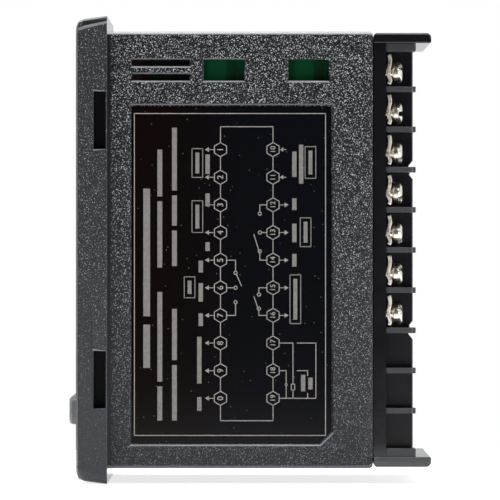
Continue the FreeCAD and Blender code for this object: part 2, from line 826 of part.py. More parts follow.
def make_terminal_tabs():
    """Tapped contact plates in their seats, with tails that reach the boards."""
    body = new_body("terminal_tabs")
    plates = []
    holes = []
    tails = []
    hole_radius = (d.screw_diameter / 2 + d.screw_play) / math.cos(math.pi / SHANK_SIDES)
    for stem, number, side, z, slot in terminal_places():
        x = screw_x * side
        half_width = d.tab_width / 2
        half_height = d.tab_height / 2
        plates.append(rectangle(x - half_width, x + half_width, z - half_height, z + half_height))
        holes.append(many_sided(x, z - d.screw_drop, hole_radius, SHANK_SIDES))
        tail_z = z + d.tail_rise
        half_tail = d.tail_width / 2
        tail_x = (tail_inner + board_inner) * (side / 2)
        half_thick = d.tab_thickness / 2
        tails.append(rectangle(tail_x - half_thick, tail_x + half_thick, tail_z - half_tail, tail_z + half_tail))
    plate_front = bay_floor - d.tab_thickness
    pad(body, "XZ", plate_front, bay_floor, *plates)
    pad(body, "XZ", tail_front, plate_front, *tails)
    for hole in holes:
        pocket(body, "XZ", plate_front, bay_floor, hole)
    return body


def wave_profile():
    """Clamp plate from the side, folded to a valley at the screw between two crests."""
    top = d.clamp_height / 2 + d.screw_drop
    bottom = d.screw_drop - d.clamp_height / 2
    low = clamp_floor
    high = clamp_floor + d.clamp_wave
    thick = d.clamp_thickness
    points = ((top, low), (d.clamp_crest, high), (ZERO, low), (-d.clamp_crest, high), (bottom, low))
    front = [(y, z) for z, y in points]
    back = [(y + thick, z) for z, y in reversed(points)]
    return polygon(*front, *back)


def place(body, x, z, degrees=0):
    """Set a body at X and Z, turned about its own Y axis."""
    body.Placement.Rotation = FreeCAD.Rotation(FreeCAD.Vector(0, 1, 0), degrees)
    body.setExpression("Placement.Base.x", x.text)
    body.setExpression("Placement.Base.z", z.text)


def make_clamp(stem, number, side, z):
    """Wavy wire clamp plate, drawn about its screw."""
    body = new_body(f"{stem}_clamp_{number}")
    pad(body, "YZ", -d.clamp_width / 2, d.clamp_width / 2, wave_profile())
    pocket(body, "XZ", clamp_floor, head_floor, square(d.screw_diameter / 2 + d.clamp_hole_play))
    place(body, screw_x * side, z)
    return body


def prism(sides, radius, low, high):
    """Regular prism along Y, with its corners on a circle about the axis."""
    shape = doc.addObject("Part::Prism", "Prism")
    shape.Polygon = sides
    shape.setExpression("Circumradius", radius.text)
    shape.setExpression("Height", (high - low).text)
    shape.Placement.Rotation = FreeCAD.Rotation(FreeCAD.Vector(1, 0, 0), -90)
    shape.setExpression("Placement.Base.y", low.text)
    return shape


def make_screw(stem, number, side, z, slot):
    """Terminal screw drawn about its axis, with its driver slot at its own angle."""
    head = d.head_diameter / 2
    blank = doc.addObject("Part::Fuse", "Blank")
    blank.Base = prism(SHANK_SIDES, d.screw_diameter / 2, screw_tip, head_floor)
    blank.Tool = prism(HEAD_SIDES, head, head_floor, head_top)
    driver = doc.addObject("Part::Box", "Driver")
    driver.setExpression("Length", d.head_diameter.text)
    driver.setExpression("Width", d.driver_depth.text)
    driver.setExpression("Height", d.driver_slot.text)
    driver.setExpression("Placement.Base.x", (-head).text)
    driver.setExpression("Placement.Base.y", (head_top - d.driver_depth).text)
    driver.setExpression("Placement.Base.z", (-d.driver_slot / 2).text)
    screw = doc.addObject("Part::Cut", f"{stem}_screw_{number}")
    screw.Label = f"{stem}_screw_{number}"
    screw.Base = blank
    screw.Tool = driver
    place(screw, screw_x * side, z, slot)
    return screw


def make_side_board(name, side):
    """Circuit board along one side of the case, between its rails."""
    body = new_body(name)
    low, high = (board_inner, board_outer) if side > 0 else (-board_outer, -board_inner)
    pad(body, "YZ", low, high, rectangle(d.board_front, board_rear, -half_board, half_board))
    return body


def make_board_headers():
    """Headers that join the display board to the two side boards."""
    body = new_body("board_headers")
    high = half_board - d.header_inset
    low = high - d.header_length
    outlines = both_sides(board_inner - d.header_width, board_inner, low, high)
    pad(body, "XZ", display_board_back, d.board_front + d.header_lap, *outlines)
    return body


def make_transformer():
    """Encapsulated mains transformer on the power board."""
    body = new_body("transformer")
    front = d.board_front + d.transformer_inset
    low = d.transformer_inset - half_board
    outline = rectangle(front, front + d.transformer_length, low, low + d.transformer_width)
    top = d.transformer_height - board_inner
    pad(body, "YZ", -board_inner, top, outline)
    chamfer(body, d.transformer_bevel, lambda box: at(box.XMin, box.XMax, top))
    return body


def make_capacitors():
    """Round electrolytic capacitors on the power board."""
    body = new_body("capacitors")
    radius = d.capacitor_diameter / 2
    middle = (d.board_front + board_rear) / 2
    outlines = []
    for index in range(CAPACITORS):
        y = middle + d.capacitor_pitch * (index - (CAPACITORS - 1) / 2)
        outlines.append(many_sided(y, d.capacitor_rise, radius, CAPACITOR_SIDES))
    pad(body, "YZ", -board_inner, d.capacitor_height - board_inner, *outlines)
    return body


def make_relays():
    """Output relays on the control board."""
    body = new_body("relays")
    rear = board_rear - d.relay_inset
    outlines = []
    for index in range(RELAYS):
        z = d.relay_pitch * (index - (RELAYS - 1) / 2)
        outlines.append(rectangle(rear - d.relay_length, rear, z - d.relay_width / 2, z + d.relay_width / 2))
    pad(body, "YZ", board_inner - d.relay_height, board_inner, *outlines)
    return body


def make_chips():
    """Chips on the control board."""
    body = new_body("chips")
    front = d.board_front + d.chip_inset
    half = d.chip_width / 2
    outlines = []
    for index in range(CHIPS):
        z = d.chip_pitch * (index - (CHIPS - 1) / 2)
        outlines.append(rectangle(front, front + d.chip_width, z - half, z + half))
    pad(body, "YZ", board_inner - d.chip_height, board_inner, *outlines)
    return body


def make_pieces():
    """Every piece of the controller."""
    pieces = [
        make_front_bezel(),
        make_display_window(),
        make_switch_housings(),
        make_display("upper_display", d.upper_inset, upper_low, upper_high),
        make_display("lower_display", d.lower_inset, lower_low, lower_high),
        make_status_leds(),
        make_display_board(),
        make_case_sleeve(),
        make_nameplate(),
        make_terminal_block(),
        make_terminal_tabs(),
        make_side_board("control_board", 1),
        make_side_board("power_board", -1),
        make_board_headers(),
        make_transformer(),
        make_capacitors(),
        make_relays(),
        make_chips(),
    ]
    for name, x in key_places():
        pieces.append(make_key(name, x))
        pieces.append(make_plunger(name, x))
    for stem, number, side, z, slot in terminal_places():
        screw_z = z - d.screw_drop
        pieces.append(make_clamp(stem, number, side, screw_z))
        pieces.append(make_screw(stem, number, side, screw_z, slot))
    return pieces


def check(pieces):
    """Stop if any object failed or any piece has no sound shape."""
    doc.recompute()
    for item in doc.Objects:
        if "Invalid" in item.State or "Error" in item.State:
            raise RuntimeError(f"{item.Name} of {item.getParentGeoFeatureGroup()} failed: {item.State}")
    for piece in pieces:
        if piece.Shape.isNull() or not piece.Shape.isValid() or not piece.Shape.Solids:
            raise RuntimeError(f"{piece.Label} has no sound shape")


def main():
    """Build, check and export the controller."""
    pieces = make_pieces()
    check(pieces)
    os.makedirs("parts", exist_ok=True)
    for piece in pieces:
        piece.Shape.exportStep(f"parts/{piece.Label}.step")
        print(piece.Label, len(piece.Shape.Solids), round(piece.Shape.Volume, 3))


main()
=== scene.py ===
import json
import math

import bmesh
import bpy
from mathutils import Matrix, Vector

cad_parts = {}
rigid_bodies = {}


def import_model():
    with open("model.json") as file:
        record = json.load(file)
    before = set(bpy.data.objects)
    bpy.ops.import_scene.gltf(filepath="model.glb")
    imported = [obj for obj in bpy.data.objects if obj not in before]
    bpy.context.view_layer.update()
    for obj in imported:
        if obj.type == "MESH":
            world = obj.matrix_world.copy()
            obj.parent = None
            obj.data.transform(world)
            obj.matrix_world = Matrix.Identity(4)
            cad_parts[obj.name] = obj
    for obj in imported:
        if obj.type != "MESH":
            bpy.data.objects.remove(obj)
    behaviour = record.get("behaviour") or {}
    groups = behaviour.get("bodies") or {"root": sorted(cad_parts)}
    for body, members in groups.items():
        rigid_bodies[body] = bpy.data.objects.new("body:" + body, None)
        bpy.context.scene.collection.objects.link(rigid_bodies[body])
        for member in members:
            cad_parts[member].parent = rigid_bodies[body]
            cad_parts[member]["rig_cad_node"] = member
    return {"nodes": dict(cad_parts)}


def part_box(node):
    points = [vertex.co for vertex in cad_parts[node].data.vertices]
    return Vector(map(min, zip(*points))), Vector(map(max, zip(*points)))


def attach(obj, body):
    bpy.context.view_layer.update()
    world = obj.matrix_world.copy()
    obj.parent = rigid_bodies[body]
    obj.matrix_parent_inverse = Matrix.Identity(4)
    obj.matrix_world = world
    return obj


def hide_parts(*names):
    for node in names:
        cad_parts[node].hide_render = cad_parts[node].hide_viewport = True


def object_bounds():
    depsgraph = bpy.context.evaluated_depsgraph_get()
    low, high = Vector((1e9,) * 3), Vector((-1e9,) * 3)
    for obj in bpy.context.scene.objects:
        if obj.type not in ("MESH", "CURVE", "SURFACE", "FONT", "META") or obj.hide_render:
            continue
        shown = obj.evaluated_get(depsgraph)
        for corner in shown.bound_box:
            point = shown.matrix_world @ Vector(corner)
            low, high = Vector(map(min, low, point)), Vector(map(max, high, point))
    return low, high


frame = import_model()
CAD_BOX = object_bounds()

# Panel-mounted temperature controller: the front looks along -Y, the terminals along +Y, +Z is up.
# Lengths are metres.

bl_info = {
    "name": "Panel temperature controller",
    "version": (1, 0, 0),
    "blender": (4, 5, 0),
    "location": "View3D > Sidebar > Controller",
    "description": "Finishes a panel-mounted temperature controller round its packed model",
    "category": "Object",
}

MM = 0.001
KEYS = ("set", "shift", "down", "up")

# Angles in degrees of the terminal screws' driver slots, from the top terminal down.
SLOT_ANGLES = {
    "right": (-36, 4, 38, 30, 44, -34, -40),
    "left": (20, 75, -15, 50, -60, 5, 33, -28, 64, -45),
}
TERMINALS = [
    (side, number, angle) for side, angles in SLOT_ANGLES.items() for number, angle in enumerate(angles, 1)
]

# Middle of a latch window in the sides of the front frame, above and below the middle of the part.
LATCH_Y = -1.55 * MM
LATCH_Z = 26.6 * MM

# Thickness of the terminal block's end walls.
END_WALL = 1.8 * MM

# Corners closer than this are one corner.
MERGE = 0.002 * MM

# Turns a shape drawn in the XY plane so that it is read upwards on the right side of the case.
ON_LABEL = Matrix(((0, 0, 1), (0, -1, 0), (1, 0, 0))).to_euler()


def linear(hex_value):
    """Linear RGB of an sRGB hex colour."""
    values = []
    for start in (0, 2, 4):
        value = int(hex_value[start:start + 2], 16) / 255
        values.append(value / 12.92 if value <= 0.04045 else ((value + 0.055) / 1.055) ** 2.4)
    return tuple(values)


def length(name, description, millimetres):
    """Length property with its default in millimetres."""
    return bpy.props.FloatProperty(
        name=name,
        description=description,
        default=millimetres * MM,
        precision=5,
        unit="LENGTH",
        subtype="DISTANCE",
    )


def colour(name, description, hex_value):
    """Colour property with an sRGB default."""
    return bpy.props.FloatVectorProperty(
        name=name, description=description, default=linear(hex_value), min=0, max=1, subtype="COLOR"
    )


class ControllerSizes(bpy.types.PropertyGroup):
    """Lengths of the finish."""

    case_edge: length("Case edge", "Round of the case's moulded edges", 0.34)
    frame_edge: length("Frame edge", "Round of the front frame's moulded edges", 0.1)
    latch_lip: length("Latch lip", "Bevel over and under the front frame's latch windows", 0.3)
    latch_depth: length("Latch depth", "Depth of the case's pocket behind a latch window", 1.9)
    latch_width: length("Latch width", "Width of the case's pocket behind a latch window", 2.2)
    latch_length: length("Latch length", "Height of the case's pocket behind a latch window", 11.4)
    block_edge: length("Block edge", "Round of the terminal block's edges", 0.3)
    end_wall_edge: length("End wall edge", "Round of the terminal block's end walls", 0.6)
    barrier_tip: length("Barrier tip", "Round of the barriers' outer ends", 1.2)
    key_edge: length("Key edge", "Round of the key caps' edges", 0.2)
    key_sign: length("Key sign", "Corner radius of the signs on the key caps", 1.3)
    key_ring: length("Key ring", "Line width of the ring on the first key cap", 0.4)
    case_grain: length("Case grain", "Width of the case's spark-eroded grain", 0.26)
    frame_grain: length("Frame grain", "Width of the front frame's finer grain", 0.26)
    head_height: length("Head height", "Height of a screw head", 2.0)
    collar: length("Collar", "Height of the narrow collar under a screw head", 0.25)
    head_dome: length("Head dome", "Round of a screw head's outer edge", 1.05)
    slot_width: length("Slot width", "Width of a screw's driver slot", 1.0)
    slot_depth: length("Slot depth", "Depth of a screw's driver slot", 0.8)
    screw_edge: length("Screw edge", "Round of a screw's small edges", 0.07)
    clamp_sheet: length("Clamp sheet", "Thickness of a clamp plate", 0.72)
    clamp_wave: length("Clamp wave", "Height of a clamp plate's crests", 0.42)
    clamp_hole: length("Clamp hole", "Radius of the screw's hole in a clamp plate", 1.65)
    clamp_edge: length("Clamp edge", "Round of a clamp plate's edges", 0.12)
    print_line: length("Print line", "Width of the label's lines", 0.18)
    print_height: length("Print height", "Thickness of the label's ink", 0.03)
    hexagon: length("Hexagon", "Corner radius of the label's terminal marks", 1.55)
    hexagon_pitch: length("Hexagon pitch", "Between the label's terminal marks", 5.67)
    pin: length("Pin", "Radius of the pins in the label's contact signs", 0.42)


class ControllerColours(bpy.types.PropertyGroup):
    """Colours of the finish."""

    case: colour("Case", "Moulded case", "16181A")
    # Painted soft light: the lighter, smooth grey that the case and the front frame fade to towards the
    # bottom.
    worn: colour("Worn case", "Case and front frame where their grain is worn", "3A3C41")
    # Painted sheen: a lighter grey on the case's rounded edges that face down.
    edge: colour("Case edges", "Case edges that face down", "55585D")
    # Painted highlight: a bright grey on the case's rounded edges that face up.
    case_painted_highlight: colour("Lit case edges", "Case edges that face up", "8E9196")
    # The bright points are partly real grain and partly painted glints of light on it.
    grain: colour("Grain", "Bright points of the case's and the front frame's grain", "D6DAE0")
    frame: colour("Frame", "Moulded front frame", "27282C")
    frame_edge: colour("Frame edges", "Front frame's rounds, where the tool is polished", "222221")
    # Painted highlight on the front frame's back edge, its latch lips and along its upper corners.
    frame_painted_highlight: colour("Frame lips", "Front frame's edges, where they are rubbed bright", "84868A")
    block: colour("Block", "Terminal block", "151419")
    # Painted light: the lighter grey of the barriers' outer faces and of the block's side towards the
    # bottom.
    block_painted_light: colour("Scuffed block", "Terminal block where hands and tools rub it", "525355")
    film: colour("Film", "Wiring label", "0B0C11")
    # Painted reflection: a warm tint on the label's black towards the front.
    film_painted_reflection: colour("Warm film", "Wiring label towards the front", "0F0807")
    ink: colour("Ink", "Print on the label", "A8A39D")
    bar: colour("Bars", "Plain bars on the label", "8A8682")
    nickel: colour("Nickel", "Plated screws and clamps", "DED8CD")
    tin: colour("Tin", "Plated contacts", "BFBDB6")
    board: colour("Board", "Solder mask of the circuit boards", "033B1F")
    header: colour("Header", "Board headers", "3A1513")
    dark: colour("Dark parts", "Moulded parts on the boards", "1B1D22")
    key: colour("Keys", "Key caps", "8A8D8F")
    pane: colour("Pane", "Smoked display pane", "1C1416")
    segment: colour("Segments", "Unlit segments of the displays", "8C8680")
    lamp: colour("Lamps", "Unlit indicator lamps", "8A3A2E")
    floor: colour("Floor", "Studio floor", "F2F2F2")


def sizes():
    """Lengths in use."""
    return bpy.context.scene.controller_sizes


def colours():
    """Colours in use."""
    return bpy.context.scene.controller_colours


def add_node(tree, kind, inputs=None, **settings):
    """Node with its settings, and with each input set to a value or linked to a socket."""
    node = tree.nodes.new(kind)
    for name, value in settings.items():
        setattr(node, name, value)
    for name, value in (inputs or {}).items():
        if isinstance(value, bpy.types.NodeSocket):
            tree.links.new(value, node.inputs[name])
        else:
            node.inputs[name].default_value = value
    return node


def new_material(name):
    """Empty node material: its tree and the Object coordinates of the surface."""
    material = bpy.data.materials.new(name)
    material.use_nodes = True
    tree = material.node_tree
    tree.nodes.clear()
    place = add_node(tree, "ShaderNodeTexCoord").outputs["Object"]
    return material, tree, place


def finish_material(material, inputs):
    """Give a material a principled surface with the given inputs."""
    tree = material.node_tree
    surface = add_node(tree, "ShaderNodeBsdfPrincipled", inputs)
    add_node(tree, "ShaderNodeOutputMaterial", {"Surface": surface.outputs["BSDF"]})
    return material


def rgba(value):
    """Colour with full alpha."""
    return (*value, 1.0)


def fade(tree, place, axis, start, end, first=0.0, last=1.0, **settings):
    """Level that goes from a first to a last value between two places along an axis."""
    parts = add_node(tree, "ShaderNodeSeparateXYZ", {0: place})
    levels = {"From Min": start, "From Max": end, "To Min": first, "To Max": last}
    level = add_node(tree, "ShaderNodeMapRange", {"Value": parts.outputs[axis], **levels}, **settings)
    return level.outputs["Result"]


def uneven(tree, place, width, detail, low, high):
    """Noise over a stated width, and a level that wanders with it between two values."""
    noise = add_node(tree, "ShaderNodeTexNoise", {"Vector": place, "Scale": 1 / width, "Detail": detail})
    levels = {"From Min": 0.3, "From Max": 0.7, "To Min": low, "To Max": high}
    level = add_node(tree, "ShaderNodeMapRange", {"Value": noise.outputs["Fac"], **levels})
    return noise.outputs["Fac"], level.outputs["Result"]


def relief(tree, place, width, detail, strength, depth):
    """Normals of a surface that rises and falls by a depth over a stated width."""
    noise = add_node(tree, "ShaderNodeTexNoise", {"Vector": place, "Scale": 1 / width, "Detail": detail})
    height = {"Height": noise.outputs["Fac"], "Strength": strength, "Distance": depth}
    return add_node(tree, "ShaderNodeBump", height).outputs["Normal"]


def grain_tint(tree, noise, limits, strength, painted_glint_share, ground):
    """Colour of grained ABS: bright points where the noise is high, partly painted glints, on a ground
    painted a lighter grey where the glint share is low.
    """
    levels = {"From Min": limits[0], "From Max": limits[1], "To Min": 0.0, "To Max": strength}
    points = add_node(tree, "ShaderNodeMapRange", {"Value": noise, **levels})
    worn = {0: painted_glint_share, 6: rgba(colours().worn), 7: rgba(ground)}
    between = add_node(tree, "ShaderNodeMix", worn, data_type="RGBA")
    grained = {0: points.outputs["Result"], 6: between.outputs[2], 7: rgba(colours().grain)}
    return add_node(tree, "ShaderNodeMix", grained, data_type="RGBA").outputs[2]


def spark_eroded_abs():
    """ABS moulded against a spark-eroded steel tool: sharp bright points over dark grey.

    The bright points are partly painted glints: strongest at the top, where light falls from above, they
    thin out towards the bottom, where the grey is painted lighter and smoother. There are none close behind
    the front frame, as painted shade.
    """
    material, tree, place = new_material("spark_eroded_abs")
    grain = sizes().case_grain
    # Painted light: stronger points upwards, and a lighter, smoother painted grey downwards.
    painted_glint_share = fade(tree, place, "Z", CAD_BOX[0].z, CAD_BOX[1].z * 0.7, 0.25, 1.0)
    # Painted shade: no bright points close behind the front frame.
    clear_of_painted_shade = fade(tree, place, "Y", 0.5 * MM, 1.2 * MM)
    strength = add_node(tree, "ShaderNodeMath", {0: painted_glint_share, 1: clear_of_painted_shade}, operation="MULTIPLY")
    speckle = {"Vector": place, "Scale": 1 / grain, "Detail": 2.0, "Roughness": 0.6}
    noise = add_node(tree, "ShaderNodeTexNoise", speckle).outputs["Fac"]
    bump = add_node(tree, "ShaderNodeBump", {"Height": noise, "Strength": 0.6, "Distance": grain * 0.5})
    return finish_material(
        material,
        {
            "Base Color": grain_tint(tree, noise, (0.56, 0.68), strength.outputs[0], painted_glint_share, colours().case),
            "Roughness": 0.55,
            "IOR": 1.5,
            "Specular IOR Level": 0.15,
            "Normal": bump.outputs["Normal"],
        },
    )


def fine_abs():
    """The same ABS against a finer tool: soft satin grain whose points, partly painted glints, thin out
    towards the bottom, where the grey is painted lighter.
    """
    material, tree, place = new_material("fine_abs")
    grain = sizes().frame_grain
    # Painted light: stronger points upwards, and a lighter, smoother painted grey downwards.
    painted_glint_share = fade(tree, place, "Z", CAD_BOX[0].z * 0.7, 0.0, 0.15, 0.8)
    speckle = {"Vector": place, "Scale": 1 / grain, "Detail": 2.0}
    noise = add_node(tree, "ShaderNodeTexNoise", speckle).outputs["Fac"]
    bump = add_node(tree, "ShaderNodeBump", {"Height": noise, "Strength": 0.35, "Distance": grain * 0.3})
    return finish_material(
        material,
        {
            "Base Color": grain_tint(tree, noise, (0.58, 0.76), painted_glint_share, painted_glint_share, colours().frame),
            "Roughness": 0.36,
            "IOR": 1.5,
            "Specular IOR Level": 0.3,
            "Normal": bump.outputs["Normal"],
        },
    )


def polished_abs(name, base, gloss=0.5):
    """The same ABS, smooth with clear gloss, along edges and corners: where the tool was polished, and where
    highlights and sheen are painted in the colour given.
    """
    material, tree, place = new_material(name)
    _, rough = uneven(tree, place, 3 * MM, 2.0, 0.12, 0.18)
    return finish_material(
        material, {"Base Color": rgba(base), "Roughness": rough, "IOR": 1.5, "Specular IOR Level": gloss}
    )


def painted_light_places(tree, place):
    """How far a place of the terminal block is painted lighter, as painted light, and how far it lies in the
    bays or on their barriers.

    The barriers' outer faces get the painted light, and so does the side of the block towards the bottom, as
    painted light from below.
    """
    side, _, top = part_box("terminal_block")[1]
    bay_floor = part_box("right_clamp_1")[0].y
    either_side = add_node(tree, "ShaderNodeVectorMath", {0: place}, operation="ABSOLUTE").outputs[0]
    outside = fade(tree, either_side, "X", side - 1.25 * MM, side - 0.2 * MM)
    in_bays = fade(tree, place, "Y", bay_floor - 0.2 * MM, bay_floor + 0.3 * MM)
    below_top = fade(tree, place, "Z", top - END_WALL - 0.6 * MM, top - END_WALL, 1.0, 0.0)
    bottom = fade(tree, place, "Z", END_WALL - top, END_WALL - top + 3.2 * MM, 1.0, 0.0)
    barriers = add_node(tree, "ShaderNodeMath", {0: in_bays, 1: below_top}, operation="MULTIPLY").outputs[0]
    open_faces = add_node(tree, "ShaderNodeMath", {0: barriers, 1: bottom}, operation="MAXIMUM").outputs[0]
    painted_light_share = add_node(tree, "ShaderNodeMath", {0: open_faces, 1: outside}, operation="MULTIPLY").outputs[0]
    return painted_light_share, barriers


def polished_nylon():
    """Flame-retardant nylon from a polished tool: glossy black with faint flow marks and fine scuffs.

    The bays and barriers are duller than the base, and the barriers' outer faces and the side towards the
    bottom are painted a lighter grey, as painted light.
    """
    material, tree, place = new_material("polished_nylon")
    painted_light_share, barriers = painted_light_places(tree, place)
    # Painted light: the barriers' outer faces and the bottom of the side are painted a lighter grey.
    greys = {0: painted_light_share, 6: rgba(colours().block), 7: rgba(colours().block_painted_light)}
    tint = add_node(tree, "ShaderNodeMix", greys, data_type="RGBA")
    _, flow = uneven(tree, place, 6 * MM, 3.0, 0.1, 0.18)
    duller = 0.09
    rough = add_node(tree, "ShaderNodeMath", {0: barriers, 1: duller, 2: flow}, operation="MULTIPLY_ADD")
    return finish_material(
        material,
        {
            "Base Color": tint.outputs[2],
            "Roughness": rough.outputs[0],
            "IOR": 1.53,
            "Specular IOR Level": 0.25,
            "Normal": relief(tree, place, 0.5 * MM, 2.0, 0.12, 0.05 * MM),
        },
    )


def polyester_film():
    """Printed polyester film: deep gloss, almost flat, with a little dust in the gloss.

    The black is tinted warm towards the front of the case as a painted reflection, and is cool towards the
    terminals.
    """
    material, tree, place = new_material("polyester_film")
    cool = fade(tree, place, "Y", 10 * MM, 30 * MM, interpolation_type="SMOOTHSTEP")
    blacks = {0: cool, 6: rgba(colours().film_painted_reflection), 7: rgba(colours().film)}
    black = add_node(tree, "ShaderNodeMix", blacks, data_type="RGBA")
    dust = add_node(tree, "ShaderNodeTexVoronoi", {"Vector": place, "Scale": 1 / (1.6 * MM)})
    levels = {"From Min": 0.05, "From Max": 0.09, "To Min": 0.3, "To Max": 0.0}
    specks = add_node(tree, "ShaderNodeMapRange", {"Value": dust.outputs["Distance"], **levels})
    dusted = {0: specks.outputs["Result"], 6: black.outputs[2], 7: rgba(colours().ink)}
    tint = add_node(tree, "ShaderNodeMix", dusted, data_type="RGBA")
    return finish_material(
        material,
        {
            "Base Color": tint.outputs[2],
            "Roughness": 0.12,
            "IOR": 1.5,
            "Specular IOR Level": 0.15,
            "Normal": relief(tree, place, 9 * MM, 1.0, 0.06, 0.1 * MM),
        },
    )


def screen_ink(name, base):
    """Screen-printed ink: matt, a little uneven in cover."""
    material, tree, place = new_material(name)
    _, bare = uneven(tree, place, 0.4 * MM, 2.0, 0.3, 0.0)
    cover = {0: bare, 6: rgba(base), 7: rgba(colours().film)}
    tint = add_node(tree, "ShaderNodeMix", cover, data_type="RGBA")
    return finish_material(material, {"Base Color": tint.outputs[2], "Roughness": 0.6, "IOR": 1.5})


def plated_metal(name, base, roughness):
    """Barrel-plated metal: bright, softly mottled and finely scratched."""
    material, tree, place = new_material(name)
    mottle, rough = uneven(tree, place, 0.7 * MM, 3.0, roughness * 0.7, roughness * 1.3)
    bump = add_node(tree, "ShaderNodeBump", {"Height": mottle, "Strength": 0.12, "Distance": 0.08 * MM})
    return finish_material(
        material,
        {
            "Base Color": rgba(base),
            "Metallic": 1.0,
            "Roughness": rough,
            "Normal": bump.outputs["Normal"],
        },
    )


def solder_mask():
    """Epoxy solder mask over metal tracks: glossy green, lighter along the tracks under it.

    Towards the front the mask is painted almost black, as painted shade.
    """
    material, tree, place = new_material("solder_mask")
    # The first share darkens the board to the painted shade towards the front; the other two colour the
    # tracks.
    bare, shaded, lit = [rgba([value * share for value in colours().board]) for share in (0.2, 0.88, 1.5)]
    tracks = add_node(
        tree,
        "ShaderNodeTexBrick",
        {
            "Vector": place,
            "Scale": 1 / (12 * MM),
            "Color1": rgba(colours().board),
            "Color2": shaded,
            "Mortar": lit,
            "Mortar Size": 0.04,
        },
    )
    # Painted shade: towards the front the board is painted almost black.
    beyond_painted_shade = fade(tree, place, "Y", 17.5 * MM, 20 * MM)
    greens = {0: beyond_painted_shade, 6: bare, 7: tracks.outputs["Color"]}
    tint = add_node(tree, "ShaderNodeMix", greens, data_type="RGBA")
    return finish_material(
        material, {"Base Color": tint.outputs[2], "Roughness": 0.3, "IOR": 1.5, "Specular IOR Level": 0.15}
    )


def moulded(name, base, roughness, mottle, gloss=0.5):
    """Small moulding: one colour, a little uneven in gloss over a stated width."""
    material, tree, place = new_material(name)
    noise, rough = uneven(tree, place, mottle, 2.0, roughness * 0.85, roughness * 1.15)
    bump = add_node(tree, "ShaderNodeBump", {"Height": noise, "Strength": 0.15, "Distance": mottle * 0.2})
    return finish_material(
        material,
        {
            "Base Color": rgba(base),
            "Roughness": rough,
            "IOR": 1.5,
            "Specular IOR Level": gloss,
            "Normal": bump.outputs["Normal"],
        },
    )


def smoked_acrylic():
    """Cast acrylic with a dark tint: polished, and faintly see-through."""
    material, tree, place = new_material("smoked_acrylic")
    return finish_material(
        material,
        {
            "Base Color": rgba(colours().pane),
            "Roughness": 0.05,
            "IOR": 1.49,
            "Specular IOR Level": 0.15,
            "Alpha": 0.55,
            "Normal": relief(tree, place, 15 * MM, 1.0, 0.03, 0.1 * MM),
        },
    )


def only(piece):
    """Select one object and make it active."""
    bpy.ops.object.select_all(action="DESELECT")
    piece.select_set(True)
    bpy.context.view_layer.objects.active = piece


def add_piece(name, operator, **settings):
    """Object added by an operator, with nothing else selected."""
    bpy.ops.object.select_all(action="DESELECT")
    operator(**settings)
    piece = bpy.context.active_object
    piece.name = name
    return piece


def copy_of(source, name):
    """Copy of an object, with its own mesh."""
    only(source)
    bpy.ops.object.duplicate()
    piece = bpy.context.active_object
    piece.name = name
    return piece


def edit(piece):
    """Open one object in edit mode, with everything in it selected."""
    only(piece)
    bpy.ops.object.mode_set(mode="EDIT")
    bpy.ops.mesh.select_all(action="SELECT")


def leave():
    """Back to object mode."""
    bpy.ops.object.mode_set(mode="OBJECT")


def empty_piece(name):
    """Mesh object with nothing in it, to gather flat shapes in."""
    piece = add_piece(name, bpy.ops.mesh.primitive_plane_add, size=1)
    edit(piece)
    bpy.ops.mesh.delete(type="VERT")
    leave()
    return piece


def select(piece, kind, test):
    """In edit mode, select only the vertices, edges or faces that pass a test."""
    bpy.ops.mesh.select_mode(type=kind)
    bpy.ops.mesh.select_all(action="DESELECT")
    mesh = bmesh.from_edit_mesh(piece.data)
    items = {"VERT": mesh.verts, "EDGE": mesh.edges, "FACE": mesh.faces}
    for item in items[kind]:
        if test(item):
            item.select_set(True)
    bmesh.update_edit_mesh(piece.data)


def middle(edge):
    """Middle of an edge."""
    return (edge.verts[0].co + edge.verts[1].co) / 2


def runs_along(edge, axis):
    """Whether an edge runs along X, Y or Z, given as 0, 1 or 2."""
    start, end = (vert.co for vert in edge.verts)
    return abs(start[axis] - end[axis]) > 0.9 * edge.calc_length()


def sharp(edge):
    """Whether an edge is a corner that stands out."""
    return len(edge.link_faces) == 2 and edge.is_convex and edge.calc_face_angle(0) > math.radians(40)


def apply_modifier(piece, kind, **settings):
    """Add a modifier with its settings and apply it."""
    only(piece)
    modifier = piece.modifiers.new(kind.lower(), kind)
    for name, value in settings.items():
        setattr(modifier, name, value)
    bpy.ops.object.modifier_apply(modifier=modifier.name)


def cut_away(piece, cutter):
    """Cut one object out of another and remove it."""
    apply_modifier(piece, "BOOLEAN", operation="DIFFERENCE", solver="EXACT", object=cutter)
    bpy.data.objects.remove(cutter)


def smooth(piece, degrees=40):
    """Smooth shading over small turns, with large flats kept flat."""
    only(piece)
    bpy.ops.object.shade_smooth()
    edit(piece)
    select(piece, "EDGE", lambda edge: edge.calc_face_angle(math.pi) > math.radians(degrees))
    bpy.ops.mesh.mark_sharp()
    leave()
    apply_modifier(piece, "WEIGHTED_NORMAL", keep_sharp=True)


def soften(piece, width):
    """Narrow round on every edge that turns by more than 50 degrees."""
    steep = math.radians(50)
    apply_modifier(piece, "BEVEL", width=width, segments=2, limit_method="ANGLE", angle_limit=steep)
    smooth(piece)


def merged_copy(node, name):
    """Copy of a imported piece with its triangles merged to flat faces."""
    piece = copy_of(frame["nodes"][node], name)
    del piece["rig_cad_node"]
    bpy.ops.object.parent_clear(type="CLEAR_KEEP_TRANSFORM")
    edit(piece)
    bpy.ops.mesh.remove_doubles(threshold=MERGE)
    bpy.ops.mesh.dissolve_limited(angle_limit=math.radians(0.5))
    leave()
    return piece


